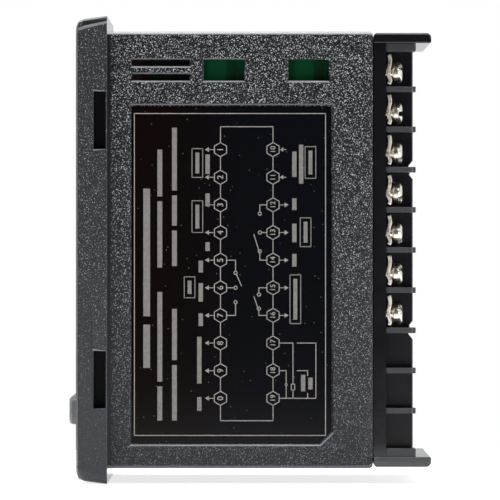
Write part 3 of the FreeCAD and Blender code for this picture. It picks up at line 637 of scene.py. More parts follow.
def round_edges(piece, width, test, segments=2):
    """Round the sharp edges of a piece that pass a test."""
    edit(piece)
    select(piece, "EDGE", lambda edge: sharp(edge) and test(edge))
    bpy.ops.mesh.bevel(offset=width, segments=segments, affect="EDGES", clamp_overlap=False)
    bpy.ops.mesh.select_all(action="SELECT")
    bpy.ops.mesh.remove_doubles(threshold=MERGE)
    bpy.ops.mesh.dissolve_degenerate(threshold=MERGE)
    leave()


def wear(piece, material):
    """Give a piece one material."""
    piece.data.materials.clear()
    piece.data.materials.append(material)


def wear_where(piece, material, test):
    """Give the faces of a piece that pass a test one more material."""
    piece.data.materials.append(material)
    for face in piece.data.polygons:
        if test(face):
            face.material_index = len(piece.data.materials) - 1


def slanted(normal, degrees):
    """Whether a direction is turned from all three main directions by more than an angle."""
    return max(abs(part) for part in normal) < math.cos(math.radians(degrees))


def settle(piece, body, slot, material, *nodes):
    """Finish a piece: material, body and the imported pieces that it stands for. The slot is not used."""
    wear(piece, material)
    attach(piece, body)
    if nodes:
        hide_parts(*nodes)


class CONTROLLER_OT_case(bpy.types.Operator):
    """Round the edges of the moulded case and give it its coarse grain"""

    bl_idname = "controller.case"
    bl_label = "Case"

    # Least slope of a rounded edge's faces, in degrees, and how far their normals look up or down.
    edge_slope = 14
    edge_rise = 0.2

    def execute(self, context):
        piece = merged_copy("case_sleeve", "case_shell")
        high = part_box("case_sleeve")[1]
        skin = high.z - 1.2 * MM

        def on_skin(edge):
            place = middle(edge)
            return max(abs(place.x), abs(place.z)) > skin and edge.calc_length() > 0.3 * MM

        def on_edge(face, side):
            return slanted(face.normal, self.edge_slope) and side * face.normal.z > self.edge_rise

        for x in (-high.x, high.x):
            for z in (-LATCH_Z, LATCH_Z):
                self.cut_latch_pocket(piece, (x, LATCH_Y, z))
        round_edges(piece, sizes().case_edge, on_skin)
        smooth(piece)
        settle(piece, "root", "case_plastic", spark_eroded_abs(), "case_sleeve")
        # Painted sheen on the rounded edges that face down, and a brighter painted highlight on those that
        # face up.
        under = polished_abs("case_edge_painted_sheen", colours().edge)
        wear_where(piece, under, lambda face: on_edge(face, -1))
        over = polished_abs("case_edge_painted_highlight", colours().case_painted_highlight)
        wear_where(piece, over, lambda face: on_edge(face, 1))
        # Painted shade: the pockets behind the latch windows are painted dark.
        pocket = moulded("latch_pocket_painted_shade", colours().block, 0.6, 0.4 * MM, 0.15)
        wear_where(piece, pocket, lambda face: face.center.y < -0.3 * MM)
        return {"FINISHED"}

    def cut_latch_pocket(self, piece, centre):
        """Blind pocket in the wall behind a latch window of the front frame."""
        cutter = add_piece("cutter", bpy.ops.mesh.primitive_cube_add, size=1, location=centre)
        cutter.scale = (2 * sizes().latch_depth, sizes().latch_width, sizes().latch_length)
        cut_away(piece, cutter)


class CONTROLLER_OT_front(bpy.types.Operator):
    """Soften the front frame's edges and give it its finer grain"""

    bl_idname = "controller.front"
    bl_label = "Front frame"

    # Turns from the side, in degrees, between which an upper corner catches the light, painted there as a
    # highlight.
    streaks = ((12, 26), (56, 70))

    # Least slope of an upper corner's faces, and the slopes of the round at the front, in degrees.
    corner_slope = 12
    front_slopes = (40, 70)

    # The normal of a bevelled lip has more than this of both its directions.
    lip_tilt = 0.3

    def execute(self, context):
        piece = merged_copy("front_bezel", "front_frame")
        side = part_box("front_bezel")[1].x

        def outside(edge):
            return middle(edge).y < 0.1 * MM and edge.calc_length() > 0.4 * MM

        def at_latch(edge):
            place = middle(edge)
            level = abs(abs(place.z) - LATCH_Z) < 0.7 * sizes().latch_length
            return level and runs_along(edge, 1) and abs(place.x) > side - 2 * MM

        round_edges(piece, sizes().latch_lip, at_latch)
        round_edges(piece, sizes().frame_edge, outside)
        smooth(piece, 50)
        settle(piece, "root", "case_plastic", fine_abs(), "front_bezel")
        rounds = polished_abs("polished_frame", colours().frame_edge, 0.1)
        wear_where(piece, rounds, lambda face: self.on_round(face.normal))
        # Painted highlight: the back edge, the latch lips and two streaks along each upper corner are
        # painted bright.
        painted_highlights = polished_abs("frame_painted_highlights", colours().frame_painted_highlight, 0.3)
        wear_where(piece, painted_highlights, lambda face: self.on_painted_highlight(face, side))
        return {"FINISHED"}

    def on_painted_highlight(self, face, side):
        """Whether a face gets a painted highlight: on the frame's back edge, at a latch window or by an
        upper corner's round.
        """
        across, along, upright = (abs(part) for part in face.normal)
        back = across > self.lip_tilt and face.normal.y > self.lip_tilt
        latch = min(across, upright) > self.lip_tilt and abs(face.center.z) < side - 8 * MM
        turn = math.degrees(math.atan2(upright, across))
        lit = any(low < turn < high for low, high in self.streaks)
        streak = lit and face.normal.z > 0 and along < 0.5
        return abs(face.center.x) > side - 3 * MM and (back or latch or streak)

    def on_round(self, normal):
        """Whether a face lies on an upper corner of the frame, on the round of its front or on its back."""
        slope = math.sin(math.radians(self.corner_slope))
        corner = abs(normal.x) > slope and normal.z > slope
        low, high = self.front_slopes
        front = low < math.degrees(math.asin(min(1, abs(normal.y)))) < high
        return corner or front or normal.y > 0.9


class CONTROLLER_OT_block(bpy.types.Operator):
    """Round the edges of the terminal block's walls and barriers"""

    bl_idname = "controller.block"
    bl_label = "Terminal block"

    def execute(self, context):
        piece = merged_copy("terminal_block", "terminal_moulding")
        side, rear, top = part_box("terminal_block")[1]
        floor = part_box("right_clamp_1")[0].y - 0.4 * MM

        def along_end_wall(edge):
            at_side = all(abs(vert.co.x) > side - 1e-5 for vert in edge.verts)
            return at_side and all(abs(vert.co.z) > top - END_WALL for vert in edge.verts)

        def at_barrier_tip(edge):
            flush = all(abs(abs(vert.co.x) - side) < 0.8 * MM for vert in edge.verts)
            inside = all(vert.co.y < rear - 2 * MM for vert in edge.verts)
            short = edge.calc_length() < 1.5 * MM
            return flush and inside and short and runs_along(edge, 2) and middle(edge).y > floor + 4 * MM

        def in_view(edge):
            # The pockets in the bays' floors and the short uprights of the barriers stay sharp.
            place = middle(edge)
            at_side = abs(place.x) > side - 0.05 * MM
            lowest = floor if at_side else floor + 1.0 * MM
            shortest = 2.2 * MM if runs_along(edge, 1) else 1.0 * MM
            return place.y > lowest and edge.calc_length() > shortest

        round_edges(piece, sizes().barrier_tip, at_barrier_tip, 5)
        round_edges(piece, sizes().end_wall_edge, along_end_wall, 4)
        round_edges(piece, sizes().block_edge, in_view, 3)
        smooth(piece)
        settle(piece, "root", "block_plastic", polished_nylon(), "terminal_block")
        return {"FINISHED"}


class CONTROLLER_OT_keys(bpy.types.Operator):
    """Round the key caps and print their signs"""

    bl_idname = "controller.keys"
    bl_label = "Keys"

    # Turns of the triangles, in degrees. The key that isn't named here has a ring.
    triangles = {"shift": 90, "down": 180, "up": 0}

    def execute(self, context):
        material = moulded("satin_abs_keys", colours().key, 0.45, 0.3 * MM)
        ink = screen_ink("key_ink", colours().block)
        for name in KEYS:
            piece = merged_copy(f"{name}_key", f"{name}_cap")
            low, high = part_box(f"{name}_key")
            round_edges(piece, sizes().key_edge, lambda edge: middle(edge).y < low.y + 1.0 * MM)
            self.sink_face(piece, low.y + 0.01 * MM)
            smooth(piece)
            settle(piece, f"{name}_button", "key_plastic", material, f"{name}_key")
            centre = (low + high) / 2
            centre.y = low.y + sizes().print_height / 2
            self.print_sign(name, centre, ink)
        return {"FINISHED"}

    def sink_face(self, piece, reach):
        """Move the front face of a cap in by the thickness of its ink."""
        edit(piece)
        select(piece, "FACE", lambda face: face.normal.y < -0.99 and face.calc_center_median().y < reach)
        bpy.ops.transform.translate(value=(0, sizes().print_height, 0))
        leave()

    def print_sign(self, name, centre, ink):
        """Ring on the first key and a triangle on each of the others."""
        sign = add_piece(
            f"{name}_sign",
            bpy.ops.mesh.primitive_circle_add,
            vertices=3 if name in self.triangles else 32,
            radius=sizes().key_sign,
            fill_type="NGON",
        )
        edit(sign)
        if name not in self.triangles:
            bpy.ops.mesh.inset(thickness=sizes().key_ring)
            bpy.ops.mesh.delete(type="FACE")
        leave()
        sign.rotation_euler = (math.radians(90), math.radians(-self.triangles.get(name, 0)), 0)
        sign.location = centre
        bpy.ops.object.transform_apply()
        apply_modifier(sign, "SOLIDIFY", thickness=sizes().print_height, offset=0)
        settle(sign, f"{name}_button", "key_plastic", ink)


class CONTROLLER_OT_screws(bpy.types.Operator):
    """Pan-head terminal screws with a slot and a cross"""

    bl_idname = "controller.screws"
    bl_label = "Terminal screws"

    # Steps under the head, to its collar and to the shank, as shares of the head's radius.
    collar_step = 0.22
    shank_step = 0.18

    # Half lengths of the slot and the cross as shares of the head's radius, and half the cross's width as a
    # share of the slot's width.
    slot_reach = 1.2
    cross_reach = 0.62
    cross_width = 0.45

    def execute(self, context):
        low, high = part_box("right_screw_1")
        radius = (high.x - low.x) / 2
        model = self.model(radius, low.y, high.y)
        material = plated_metal("nickel_plate", colours().nickel, 0.3)
        for side, number, angle in TERMINALS:
            node = f"{side}_screw_{number}"
            low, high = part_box(node)
            screw = copy_of(model, f"{side}_pan_screw_{number}")
            screw.rotation_euler = (0, math.radians(angle), 0)
            screw.location = ((low.x + high.x) / 2, 0, (low.z + high.z) / 2)
            bpy.ops.object.transform_apply()
            settle(screw, f"{side}_screw_body_{number}", "plated_steel", material, node)
        bpy.data.objects.remove(model)
        return {"FINISHED"}

    def model(self, radius, tip, top):
        """One screw on the Y axis, with its head outwards."""
        height = sizes().head_height - sizes().collar
        screw = add_piece(
            "screw",
            bpy.ops.mesh.primitive_cylinder_add,
            vertices=48,
            radius=radius,
            depth=height,
            location=(0, top - height / 2, 0),
            rotation=(math.pi / 2, 0, 0),
        )
        bpy.ops.object.transform_apply()
        edit(screw)
        select(screw, "FACE", lambda face: face.normal.y < -0.9)
        shank = top - sizes().head_height - tip
        for step, reach in ((self.collar_step, sizes().collar), (self.shank_step, shank)):
            bpy.ops.mesh.inset(thickness=radius * step)
            bpy.ops.mesh.extrude_region_move(TRANSFORM_OT_translate={"value": (0, -reach, 0)})
        select(screw, "EDGE", lambda edge: all(vert.co.y > top - 1e-6 for vert in edge.verts))
        bpy.ops.mesh.bevel(offset=sizes().head_dome, segments=5, affect="EDGES")
        leave()
        slot = (radius * self.slot_reach, sizes().slot_depth, sizes().slot_width / 2)
        cross = (sizes().slot_width * self.cross_width, sizes().slot_depth, radius * self.cross_reach)
        for half_size in (slot, cross):
            cutter = add_piece("cutter", bpy.ops.mesh.primitive_cube_add, size=2, location=(0, top, 0))
            cutter.scale = half_size
            bpy.ops.object.transform_apply()
            cut_away(screw, cutter)
        soften(screw, sizes().screw_edge)
        return screw


class CONTROLLER_OT_clamps(bpy.types.Operator):
    """Wavy wire clamp plates under the screws"""

    bl_idname = "controller.clamps"
    bl_label = "Clamp plates"

    # Rows of faces along a plate, and waves from the screw to either end of it.
    rows = 28
    waves = 0.75

    def execute(self, context):
        material = plated_metal("nickel_strip", colours().nickel, 0.34)
        screw_low, screw_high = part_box("right_screw_1")
        low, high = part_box("right_clamp_1")
        axis = (screw_low + screw_high) / 2
        model = self.model(low, high, axis)
        for side, number, _ in TERMINALS:
            node = f"{side}_clamp_{number}"
            node_low, node_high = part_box(node)
            clamp = copy_of(model, f"{side}_wire_clamp_{number}")
            clamp.location = (node_low + node_high - low - high) / 2
            bpy.ops.object.transform_apply()
            settle(clamp, f"{side}_clamp_body_{number}", "plated_steel", material, node)
        bpy.data.objects.remove(model)
        return {"FINISHED"}

    def model(self, low, high, axis):
        """Plate at the first right terminal, low under its screw and raised on both sides."""
        sheet = sizes().clamp_sheet
        centre = (low + high) / 2
        add_grid = bpy.ops.mesh.primitive_grid_add
        clamp = add_piece("clamp", add_grid, x_subdivisions=4, y_subdivisions=self.rows, size=2)
        clamp.scale = ((high.x - low.x) / 2, (high.z - low.z) / 2, 1)
        clamp.rotation_euler = (math.pi / 2, 0, 0)
        clamp.location = (centre.x, low.y + sheet / 2, centre.z)
        bpy.ops.object.transform_apply()
        edit(clamp)
        mesh = bmesh.from_edit_mesh(clamp.data)
        for level in sorted({round(vert.co.z, 6) for vert in mesh.verts}):
            reach = (high.z - axis.z) if level > axis.z else (axis.z - low.z)
            away = self.waves * abs(level - axis.z) / reach
            lift = sizes().clamp_wave * (1 - math.cos(2 * math.pi * away)) / 2
            select(clamp, "VERT", lambda vert: abs(vert.co.z - level) < 1e-6)
            bpy.ops.transform.translate(value=(0, lift, 0))
        leave()
        apply_modifier(clamp, "SOLIDIFY", thickness=sheet, offset=0, use_even_offset=True)
        cutter = add_piece(
            "cutter",
            bpy.ops.mesh.primitive_cylinder_add,
            vertices=24,
            radius=sizes().clamp_hole,
            depth=10 * MM,
            location=axis,
            rotation=(math.pi / 2, 0, 0),
        )
        cut_away(clamp, cutter)
        soften(clamp, sizes().clamp_edge)
        return clamp


class LabelPrint:
    """Flat shapes of ink on the wiring label, gathered in one object."""

    # How much wider a number's strokes are made, as a share of its height.
    boldness = 0.012

    def __init__(self, name, face):
        self.face = face
        self.piece = empty_piece(name)

    def line(self, start, end, width):
        """Straight line between two places given as Y and Z."""
        (y0, z0), (y1, z1) = start, end
        reach = math.hypot(y1 - y0, z1 - z0)
        turn = math.atan2(-(y1 - y0), z1 - z0)
        edit(self.piece)
        bpy.ops.mesh.select_all(action="DESELECT")
        bpy.ops.mesh.primitive_plane_add(size=1, rotation=ON_LABEL)
        bpy.ops.transform.resize(value=(1, width, reach + width))
        bpy.ops.transform.rotate(value=turn, orient_axis="X", center_override=(0, 0, 0))
        bpy.ops.transform.translate(value=(self.face, (y0 + y1) / 2, (z0 + z1) / 2))
        leave()

    def path(self, places, width):
        """Straight lines through a row of places."""
        for start, end in zip(places, places[1:]):
            self.line(start, end, width)

    def bar(self, y_low, y_high, z_low, z_high):
        """Filled rectangle."""
        middle_y = (y_low + y_high) / 2
        width = y_high - y_low
        self.line((middle_y, z_low + width / 2), (middle_y, z_high - width / 2), width)

    def outline(self, y_low, y_high, z_low, z_high, width):
        """Outlined rectangle."""
        corners = ((y_low, z_low), (y_high, z_low), (y_high, z_high), (y_low, z_high), (y_low, z_low))
        self.path(corners, width)

    def add_polygon(self, y, z, radius, corners, turn):
        """In edit mode, filled shape with equal corners, turned in the plane of the label."""
        place = (self.face, y, z)
        edit(self.piece)
        bpy.ops.mesh.select_all(action="DESELECT")
        bpy.ops.mesh.select_mode(type="FACE")
        bpy.ops.mesh.primitive_circle_add(
            vertices=corners, radius=radius, fill_type="NGON", location=place, rotation=ON_LABEL
        )
        if turn:
            bpy.ops.transform.rotate(value=turn, orient_axis="X", center_override=place)

    def ring(self, y, z, radius, corners, width):
        """Outline with equal corners, a hexagon with one of them at the top."""
        self.add_polygon(y, z, radius, corners, math.pi / 2 if corners == 6 else 0)
        bpy.ops.mesh.inset(thickness=width)
        bpy.ops.mesh.delete(type="FACE")
        leave()

    def triangle(self, y, z, radius, towards):
        """Filled triangle that points to the front (-1) or to the rear (1)."""
        self.add_polygon(y, z, radius, 3, math.pi if towards > 0 else 0)
        leave()

    def number(self, y, z, text, height):
        """Plain number, read upwards."""
        label = add_piece("number", bpy.ops.object.text_add, rotation=ON_LABEL, location=(self.face, y, z))
        label.data.body = text
        label.data.size = height
        label.data.align_x = "CENTER"
        label.data.align_y = "CENTER"
        label.data.offset = height * self.boldness
        bpy.ops.object.convert(target="MESH")
        bpy.ops.object.transform_apply()
        only(bpy.context.active_object)
        self.piece.select_set(True)
        bpy.context.view_layer.objects.active = self.piece
        bpy.ops.object.join()

    def finish(self, material):
        """Give the ink its thickness, out of the label's face."""
        edit(self.piece)
        bpy.ops.mesh.normals_make_consistent(inside=False)
        select(self.piece, "FACE", lambda face: face.normal.x < 0)
        bpy.ops.mesh.flip_normals()
        leave()
        apply_modifier(self.piece, "SOLIDIFY", thickness=sizes().print_height, offset=1)
        settle(self.piece, "root", "label_film", material)


class CONTROLLER_OT_label(bpy.types.Operator):
    """Print the wiring label: frame, terminal marks, contacts and bars"""

    bl_idname = "controller.label"
    bl_label = "Wiring label"

    # Y of the two columns of terminal marks, and Z of their first row.
    left = 23.24 * MM
    right = 34.02 * MM
    first = 20.6 * MM

    # Sides of the frame line: its Y at the front and the rear, and its Z at the bottom and the top.
    border = (5.57 * MM, 44.8 * MM, -38.05 * MM, 28.0 * MM)

    # Where the flats of a hexagon lie, as a share of its corner radius.
    flat = 0.87

    # From the first and the last row to the lines that join the columns.
    over_first = 4.7 * MM
    under_last = 4.6 * MM

    # Heights of the numbers with one digit and with two.
    number_heights = {1: 1.75 * MM, 2: 1.5 * MM}

    # Length of an arrow, and the sizes of its head outwards and inwards.
    arrow_length = 1.3 * MM
    head_outward = 0.55 * MM
    head_inward = 0.5 * MM

    # From the end of a line to the middle of the pin after it, and from a pin's middle to its blade.
    to_pin = 0.4 * MM
    blade_shift = 0.15 * MM

    def execute(self, context):
        wear(frame["nodes"]["nameplate"], polyester_film())
        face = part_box("nameplate")[1].x
        ink = LabelPrint("label_lines", face)
        ink.outline(*self.border, sizes().print_line)
        self.terminals(ink)
        self.contacts(ink)
        self.sensors(ink)
        ink.finish(screen_ink("label_ink", colours().ink))
        bars = LabelPrint("label_bars", face)
        self.bars(bars)
        bars.finish(screen_ink("bar_ink", colours().bar))
        return {"FINISHED"}

    def row(self, index):
        """Z of a terminal mark, from the top."""
        return self.first - index * sizes().hexagon_pitch

    def edge(self, column, side):
        """Y of the flat of a terminal mark that looks to the front (-1) or to the rear (1)."""
        return column + side * sizes().hexagon * self.flat

    def terminals(self, ink):
        """Two columns of numbered hexagons on one closed line, with an arrow at each."""
        width = sizes().print_line
        radius = sizes().hexagon
        top = (self.row(0) + radius, self.row(0) + self.over_first)
        bottom = (self.row(9) - radius, self.row(9) - self.under_last)
        for start, level in (top, bottom):
            corners = ((self.left, start), (self.left, level), (self.right, level), (self.right, start))
            ink.path(corners, width)
        for index in range(10):
            z = self.row(index)
            for y, text in ((self.left, str((index + 1) % 10)), (self.right, str(index + 10))):
                ink.ring(y, z, radius, 6, width)
                ink.number(y, z, text, self.number_heights[len(text)])
                if index < 9:
                    ink.line((y, z - radius), (y, self.row(index + 1) + radius), width)
            self.arrow(ink, self.left, z, -1, False)
            if index < 7:
                self.arrow(ink, self.right, z, 1, index < 2)

    def arrow(self, ink, column, z, side, inward):
        """Stub beside a hexagon with its head outwards, or inwards on the supply."""
        start = self.edge(column, side)
        end = start + side * self.arrow_length
        ink.line((start, z), (end, z), sizes().print_line * 0.8)
        if inward:
            ink.triangle(start + side * self.head_inward, z, self.head_inward, -side)
        else:
            ink.triangle(end, z, self.head_outward, side)

    def post(self, ink, column, y, z, reach):
        """Line from a terminal mark to a pin above or below it."""
        width = sizes().print_line
        start = self.edge(column, math.copysign(1, y - column))
        ink.path(((start, z), (y, z), (y, z + reach)), width)
        ink.ring(y, z + reach + math.copysign(self.to_pin, reach), sizes().pin, 16, width)

    def pivot(self, ink, column, y, z):
        """Line from a terminal mark to the pin that the blade of a contact turns on."""
        width = sizes().print_line
        side = math.copysign(1, y - column)
        ink.line((self.edge(column, side), z), (y - side * sizes().pin, z), width)
        ink.ring(y, z, sizes().pin, 16, width)

    def blade(self, ink, y, z_start, lean, z_end):
        """Blade of a contact, which leans to one side."""
        start = (y + math.copysign(self.blade_shift, lean), z_start)
        ink.line(start, (y + lean, z_end), sizes().print_line)

    def contacts(self, ink):
        """Two change-over contacts and a make contact between the columns."""
        pin = sizes().pin
        y = self.left + 3.1 * MM
        self.post(ink, self.left, y, self.row(4), -2.2 * MM)
        self.pivot(ink, self.left, y, self.row(5))
        self.blade(ink, y, self.row(5) + pin, 1.2 * MM, self.row(5) + 2.8 * MM)
        self.post(ink, self.left, y, self.row(6), 2.3 * MM)

        y = self.right - 2.7 * MM
        self.post(ink, self.right, y, self.row(2), -1.4 * MM)
        self.pivot(ink, self.right, y, self.row(3))
        self.blade(ink, y, self.row(3) - pin, -1.2 * MM, self.row(3) - 3.9 * MM)
        self.post(ink, self.right, y, self.row(4), 1.4 * MM)

        y = self.right - 2.9 * MM
        self.post(ink, self.right, y, self.row(5), -1.0 * MM)
        self.blade(ink, y, self.row(5) - 1.8 * MM, -1.0 * MM, self.row(6) + 1.35 * MM)
        self.post(ink, self.right, y, self.row(6), 1.0 * MM)

    def sensors(self, ink):
        """Thermocouple, resistor and signal lines at the last three terminals."""
        width = sizes().print_line
        edge = self.edge(self.right, 1)
        couple, resistor, signal, current, voltage = [
            self.right + reach * MM for reach in (2.7, 4.1, 5.0, 7.1, 8.8)
        ]
        top, upper, low = self.row(7), self.row(8), self.row(9)
        body_low, body_high = low + 1.7 * MM, low + 2.9 * MM
        ink.path(((edge, top), (resistor, top), (resistor, body_high)), width)
        ink.line((resistor, body_low), (resistor, low), width)
        ink.outline(resistor - 0.35 * MM, resistor + 0.35 * MM, body_low, body_high, width)
        ink.path(((signal, top), (voltage, top), (voltage, low), (edge, low)), width)
        ink.path(((edge, upper), (couple, upper), (couple, low + 3.1 * MM)), width)
        ink.line((couple, low + 2.5 * MM), (couple, low), width)
        ink.ring(couple, low + 2.8 * MM, 0.3 * MM, 12, width * 0.8)
        ink.path(((signal, upper), (current, upper), (current, upper - 1.0 * MM)), width)
        ink.line((current, low + 1.0 * MM), (current, low), width)

    def bars(self, ink):
        """Plain bars in rows on the left, in boxes, and beside the terminal marks, in millimetres."""
        # Half the width of the bars in a row, the middle of the row, and where each bar starts and ends.
        rows = (
            (0.7, 8.1, ((-24.2, -15.3), (-13.6, 12.6))),
            (0.5, 10.8, ((11.0, 20.6), (-3.6, 10.0), (-27.0, -8.6), (-35.0, -28.0))),
            (0.5, 13.8, ((12.2, 25.1), (5.0, 11.2), (-3.3, 4.0), (-22.6, -12.1), (-35.0, -23.6))),
            (0.45, 18.9, ((-27.4, -17.8), (-33.0, -30.2))),
            (0.45, 19.2, ((-4.6, -2.2), (-10.6, -6.8), (-15.6, -13.0))),
            (0.45, 20.6, ((15.6, 19.6), (9.0, 11.6), (-0.2, 1.6))),
            (0.45, 38.4, ((15.0, 20.2), (8.2, 10.6), (1.6, 5.4), (-3.4, -0.8))),
            (0.45, 39.8, ((13.6, 21.6),)),
            (0.45, 40.2, ((-29.0, -25.6),)),
            (0.45, 41.7, ((-28.6, -26.2),)),
        )
        for half, y, spans in rows:
            for low, high in spans:
                ink.bar((y - half) * MM, (y + half) * MM, low * MM, high * MM)
        boxes = (
            (17.4, 19.6, 14.9, 20.8),
            (17.4, 19.6, 3.6, 10.1),
            (15.8, 18.0, -9.8, -5.5),
            (40.6, 42.8, 14.7, 21.2),
            (39.6, 41.8, 0.7, 6.6),
            (37.5, 39.7, -15.1, -5.1),
        )
        for y_low, y_high, z_low, z_high in boxes:
            ink.outline(y_low * MM, y_high * MM, z_low * MM, z_high * MM, sizes().print_line)
            ink.bar((y_low + 0.7) * MM, (y_high - 0.7) * MM, (z_low + 0.8) * MM, (z_high - 0.8) * MM)


class CONTROLLER_OT_display(bpy.types.Operator):
    """Smoked pane, display faces with unlit digits, and indicator lamps"""

    bl_idname = "controller.display"
    bl_label = "Display"

    # Digits in a display, half a digit's height as a share of the display's, and its width in half heights.
    digits = 4
    half_height = 0.36
    digit_width = 1.05

    # Scales of an upright and of a flat bar, from a shape that is half a digit high.
    upright_bar = (0.16, 1, 0.9)
    flat_bar = (0.9, 1, 0.16)

    def execute(self, context):
        wear(frame["nodes"]["display_window"], smoked_acrylic())
        face = moulded("display_face", colours().dark, 0.6, 0.4 * MM)
        unlit = moulded("unlit_segment", colours().segment, 0.5, 0.3 * MM)
        for node in ("upper_display", "lower_display"):
            wear(frame["nodes"][node], face)
            self.segments(node, unlit)
        wear(frame["nodes"]["status_leds"], moulded("diffused_lens", colours().lamp, 0.35, 0.5 * MM))
        return {"FINISHED"}

    def segments(self, node, material):
        """Seven bars for each digit on the face of one display."""
        low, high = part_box(node)
        tall = (high.z - low.z) * self.half_height
        wide = tall * self.digit_width
        pitch = (high.x - low.x) / self.digits
        upright = [(side * wide / 2, level * tall / 2) for side in (-1, 1) for level in (-1, 1)]
        flat = [(0, level * tall) for level in (-1, 0, 1)]
        piece = empty_piece(f"{node}_digits")
        edit(piece)
        for digit in range(self.digits):
            centre = Vector((low.x + pitch * (digit + 0.5), low.y, (low.z + high.z) / 2))
            for places, size in ((upright, self.upright_bar), (flat, self.flat_bar)):
                for x, z in places:
                    self.add_segment(tall / 2, size, centre + Vector((x, 0, z)))
        leave()
        apply_modifier(piece, "SOLIDIFY", thickness=sizes().print_height, offset=0)
        settle(piece, "root", "display_face", material)

    def add_segment(self, radius, size, place):
        """In edit mode, one bar of a digit, with pointed ends."""
        facing = (math.pi / 2, 0, 0)
        bpy.ops.mesh.select_all(action="DESELECT")
        bpy.ops.mesh.primitive_circle_add(vertices=6, radius=radius, fill_type="NGON", rotation=facing)
        if size[0] > size[2]:
            bpy.ops.transform.rotate(value=math.pi / 6, orient_axis="Y", center_override=(0, 0, 0))
        bpy.ops.transform.resize(value=size)
        bpy.ops.transform.translate(value=place)


class CONTROLLER_OT_inside(bpy.types.Operator):
    """Boards, parts on them, contacts and switches"""

    bl_idname = "controller.inside"
    bl_label = "Inner parts"

    def execute(self, context):
        mask = solder_mask()
        dark = moulded("moulded_epoxy", colours().dark, 0.5, 0.4 * MM)
        header = moulded("header_nylon", colours().header, 0.5, 0.4 * MM)
        tin = plated_metal("tin_plate", colours().tin, 0.35)
        groups = (
            (mask, ("display_board", "control_board", "power_board")),
            (header, ("board_headers",)),
            (tin, ("terminal_tabs",)),
            (dark, ("transformer", "capacitors", "relays", "chips", "switch_housings")),
            (dark, tuple(f"{name}_plunger" for name in KEYS)),
        )
        for material, nodes in groups:
            for node in nodes:
                wear(frame["nodes"][node], material)
        return {"FINISHED"}


def seen_by(tree, *rays):
    """One for light paths of the named kinds, and nought for the others."""
    path = add_node(tree, "ShaderNodeLightPath")
    seen = path.outputs[rays[0]]
    for ray in rays[1:]:
        either = {0: seen, 1: path.outputs[ray]}
        seen = add_node(tree, "ShaderNodeMath", either, operation="MAXIMUM").outputs[0]
    return seen


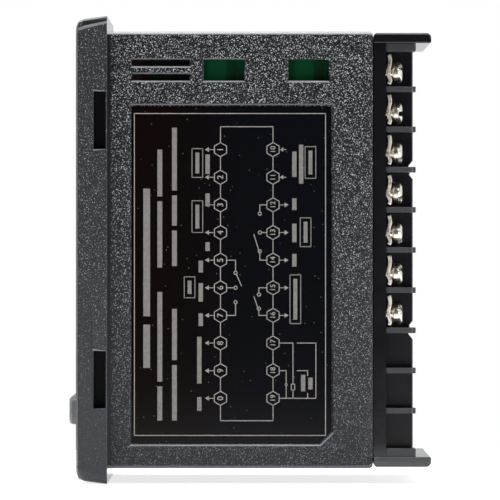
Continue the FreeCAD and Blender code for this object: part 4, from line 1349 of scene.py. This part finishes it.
class CONTROLLER_OT_stage(bpy.types.Operator):
    """Floor, studio light and camera"""

    bl_idname = "controller.stage"
    bl_label = "Stage"

    # Name, place, width in metres and power in watts of each lamp.
    lamps = (
        ("key_light", (0.9, 0.75, 1.1), 0.55, 3.5),
        ("fill_light", (1.0, -0.9, 0.25), 0.9, 1.2),
        ("top_light", (0.05, 0.03, 0.38), 0.3, 1.8),
        ("side_light", (0.8, 0.85, 0.1), 0.26, 3),
        ("front_light", (-0.2, -1.0, 0.9), 0.6, 5),
    )
    floor_place = (0.11, 0.03)
    floor_size = (0.82, 0.6)

    # What the floor glows with to the camera and in reflections, to come out white beside the shadow.
    floor_glow = 0.78

    # The studio is dim on the side that this direction points to.
    dim_side = (0.85, -0.6, 0.0)
    dim_level = 0.05

    camera_place = (2.085, 29.3 * MM, 0.0)
    sensor_width = 36
    focal_length = 716

    def execute(self, context):
        self.floor()
        self.world()
        for name, place, size, power in self.lamps:
            self.lamp(name, place, size, power)
        self.camera()
        return {"FINISHED"}

    def floor(self):
        """Pale floor under the part, white to the camera where no shadow falls."""
        place = (*self.floor_place, CAD_BOX[0].z)
        floor = add_piece("floor", bpy.ops.mesh.primitive_plane_add, size=1, location=place)
        floor.scale = (*self.floor_size, 1)
        bpy.ops.object.transform_apply()
        material = bpy.data.materials.new("studio_floor")
        material.use_nodes = True
        tree = material.node_tree
        tree.nodes.clear()
        seen = seen_by(tree, "Is Camera Ray", "Is Glossy Ray", "Is Transmission Ray")
        strength = add_node(tree, "ShaderNodeMath", {0: seen, 1: self.floor_glow}, operation="MULTIPLY")
        diffuse = add_node(tree, "ShaderNodeBsdfDiffuse", {"Color": rgba(colours().floor)})
        white = {"Color": (1, 1, 1, 1), "Strength": strength.outputs[0]}
        glow = add_node(tree, "ShaderNodeEmission", white)
        both = add_node(tree, "ShaderNodeAddShader", {0: diffuse.outputs[0], 1: glow.outputs[0]})
        add_node(tree, "ShaderNodeOutputMaterial", {"Surface": both.outputs[0]})
        wear(floor, material)

    def world(self):
        """White studio behind the part and its terminals, dim before it, and white to the camera."""
        world = bpy.data.worlds.new("studio")
        bpy.context.scene.world = world
        world.use_nodes = True
        tree = world.node_tree
        tree.nodes.clear()
        direction = add_node(tree, "ShaderNodeTexCoord").outputs["Generated"]
        along = add_node(
            tree, "ShaderNodeVectorMath", {0: direction, 1: self.dim_side}, operation="DOT_PRODUCT"
        )
        levels = {"From Min": -0.35, "From Max": 0.3, "To Min": 1.0, "To Max": self.dim_level}
        turned = {"Value": along.outputs["Value"], **levels}
        dim = add_node(tree, "ShaderNodeMapRange", turned, interpolation_type="SMOOTHSTEP").outputs["Result"]
        seen = seen_by(tree, "Is Camera Ray", "Is Transmission Ray")
        strength = add_node(tree, "ShaderNodeMath", {0: dim, 1: seen}, operation="MAXIMUM")
        white = {"Color": (1, 1, 1, 1), "Strength": strength.outputs[0]}
        background = add_node(tree, "ShaderNodeBackground", white)
        add_node(tree, "ShaderNodeOutputWorld", {"Surface": background.outputs[0]})

    def lamp(self, name, place, size, power):
        """Square soft light that looks at the middle of the part."""
        lamp = add_piece(name, bpy.ops.object.light_add, type="AREA", location=place)
        lamp.data.size = size
        lamp.data.energy = power
        middle_of_part = (CAD_BOX[0] + CAD_BOX[1]) / 2
        lamp.rotation_euler = (middle_of_part - Vector(place)).to_track_quat("-Z", "Y").to_euler()

    def camera(self):
        """Long lens level with the part, square to its right side."""
        turn = (math.pi / 2, 0, math.pi / 2)
        camera = add_piece("camera", bpy.ops.object.camera_add, location=self.camera_place, rotation=turn)
        camera.data.sensor_width = self.sensor_width
        camera.data.lens = self.focal_length
        camera.data.clip_end = 20
        scene = bpy.context.scene
        scene.camera = camera
        scene.view_settings.view_transform = "Standard"


PIECE_OPERATORS = (
    CONTROLLER_OT_case,
    CONTROLLER_OT_front,
    CONTROLLER_OT_block,
    CONTROLLER_OT_keys,
    CONTROLLER_OT_screws,
    CONTROLLER_OT_clamps,
    CONTROLLER_OT_label,
    CONTROLLER_OT_display,
    CONTROLLER_OT_inside,
    CONTROLLER_OT_stage,
)


class CONTROLLER_PT_panel(bpy.types.Panel):
    """Steps, sizes and colours of the controller"""

    bl_label = "Temperature controller"
    bl_idname = "CONTROLLER_PT_panel"
    bl_space_type = "VIEW_3D"
    bl_region_type = "UI"
    bl_category = "Controller"

    def draw(self, context):
        for operator in PIECE_OPERATORS:
            self.layout.operator(operator.bl_idname)
        for group in (context.scene.controller_sizes, context.scene.controller_colours):
            for name in group.__annotations__:
                self.layout.prop(group, name)


CLASSES = (ControllerSizes, ControllerColours, *PIECE_OPERATORS, CONTROLLER_PT_panel)


def register():
    """Register the classes and their settings."""
    for item in CLASSES:
        bpy.utils.register_class(item)
    bpy.types.Scene.controller_sizes = bpy.props.PointerProperty(type=ControllerSizes)
    bpy.types.Scene.controller_colours = bpy.props.PointerProperty(type=ControllerColours)


def unregister():
    """Take the settings and the classes away again."""
    del bpy.types.Scene.controller_colours
    del bpy.types.Scene.controller_sizes
    for item in reversed(CLASSES):
        bpy.utils.unregister_class(item)


def main():
    """Build every piece and the stage."""
    register()
    for operator in PIECE_OPERATORS:
        step = operator.bl_idname.split(".")[1]
        getattr(bpy.ops.controller, step)()


if __name__ == "__main__":
    main()
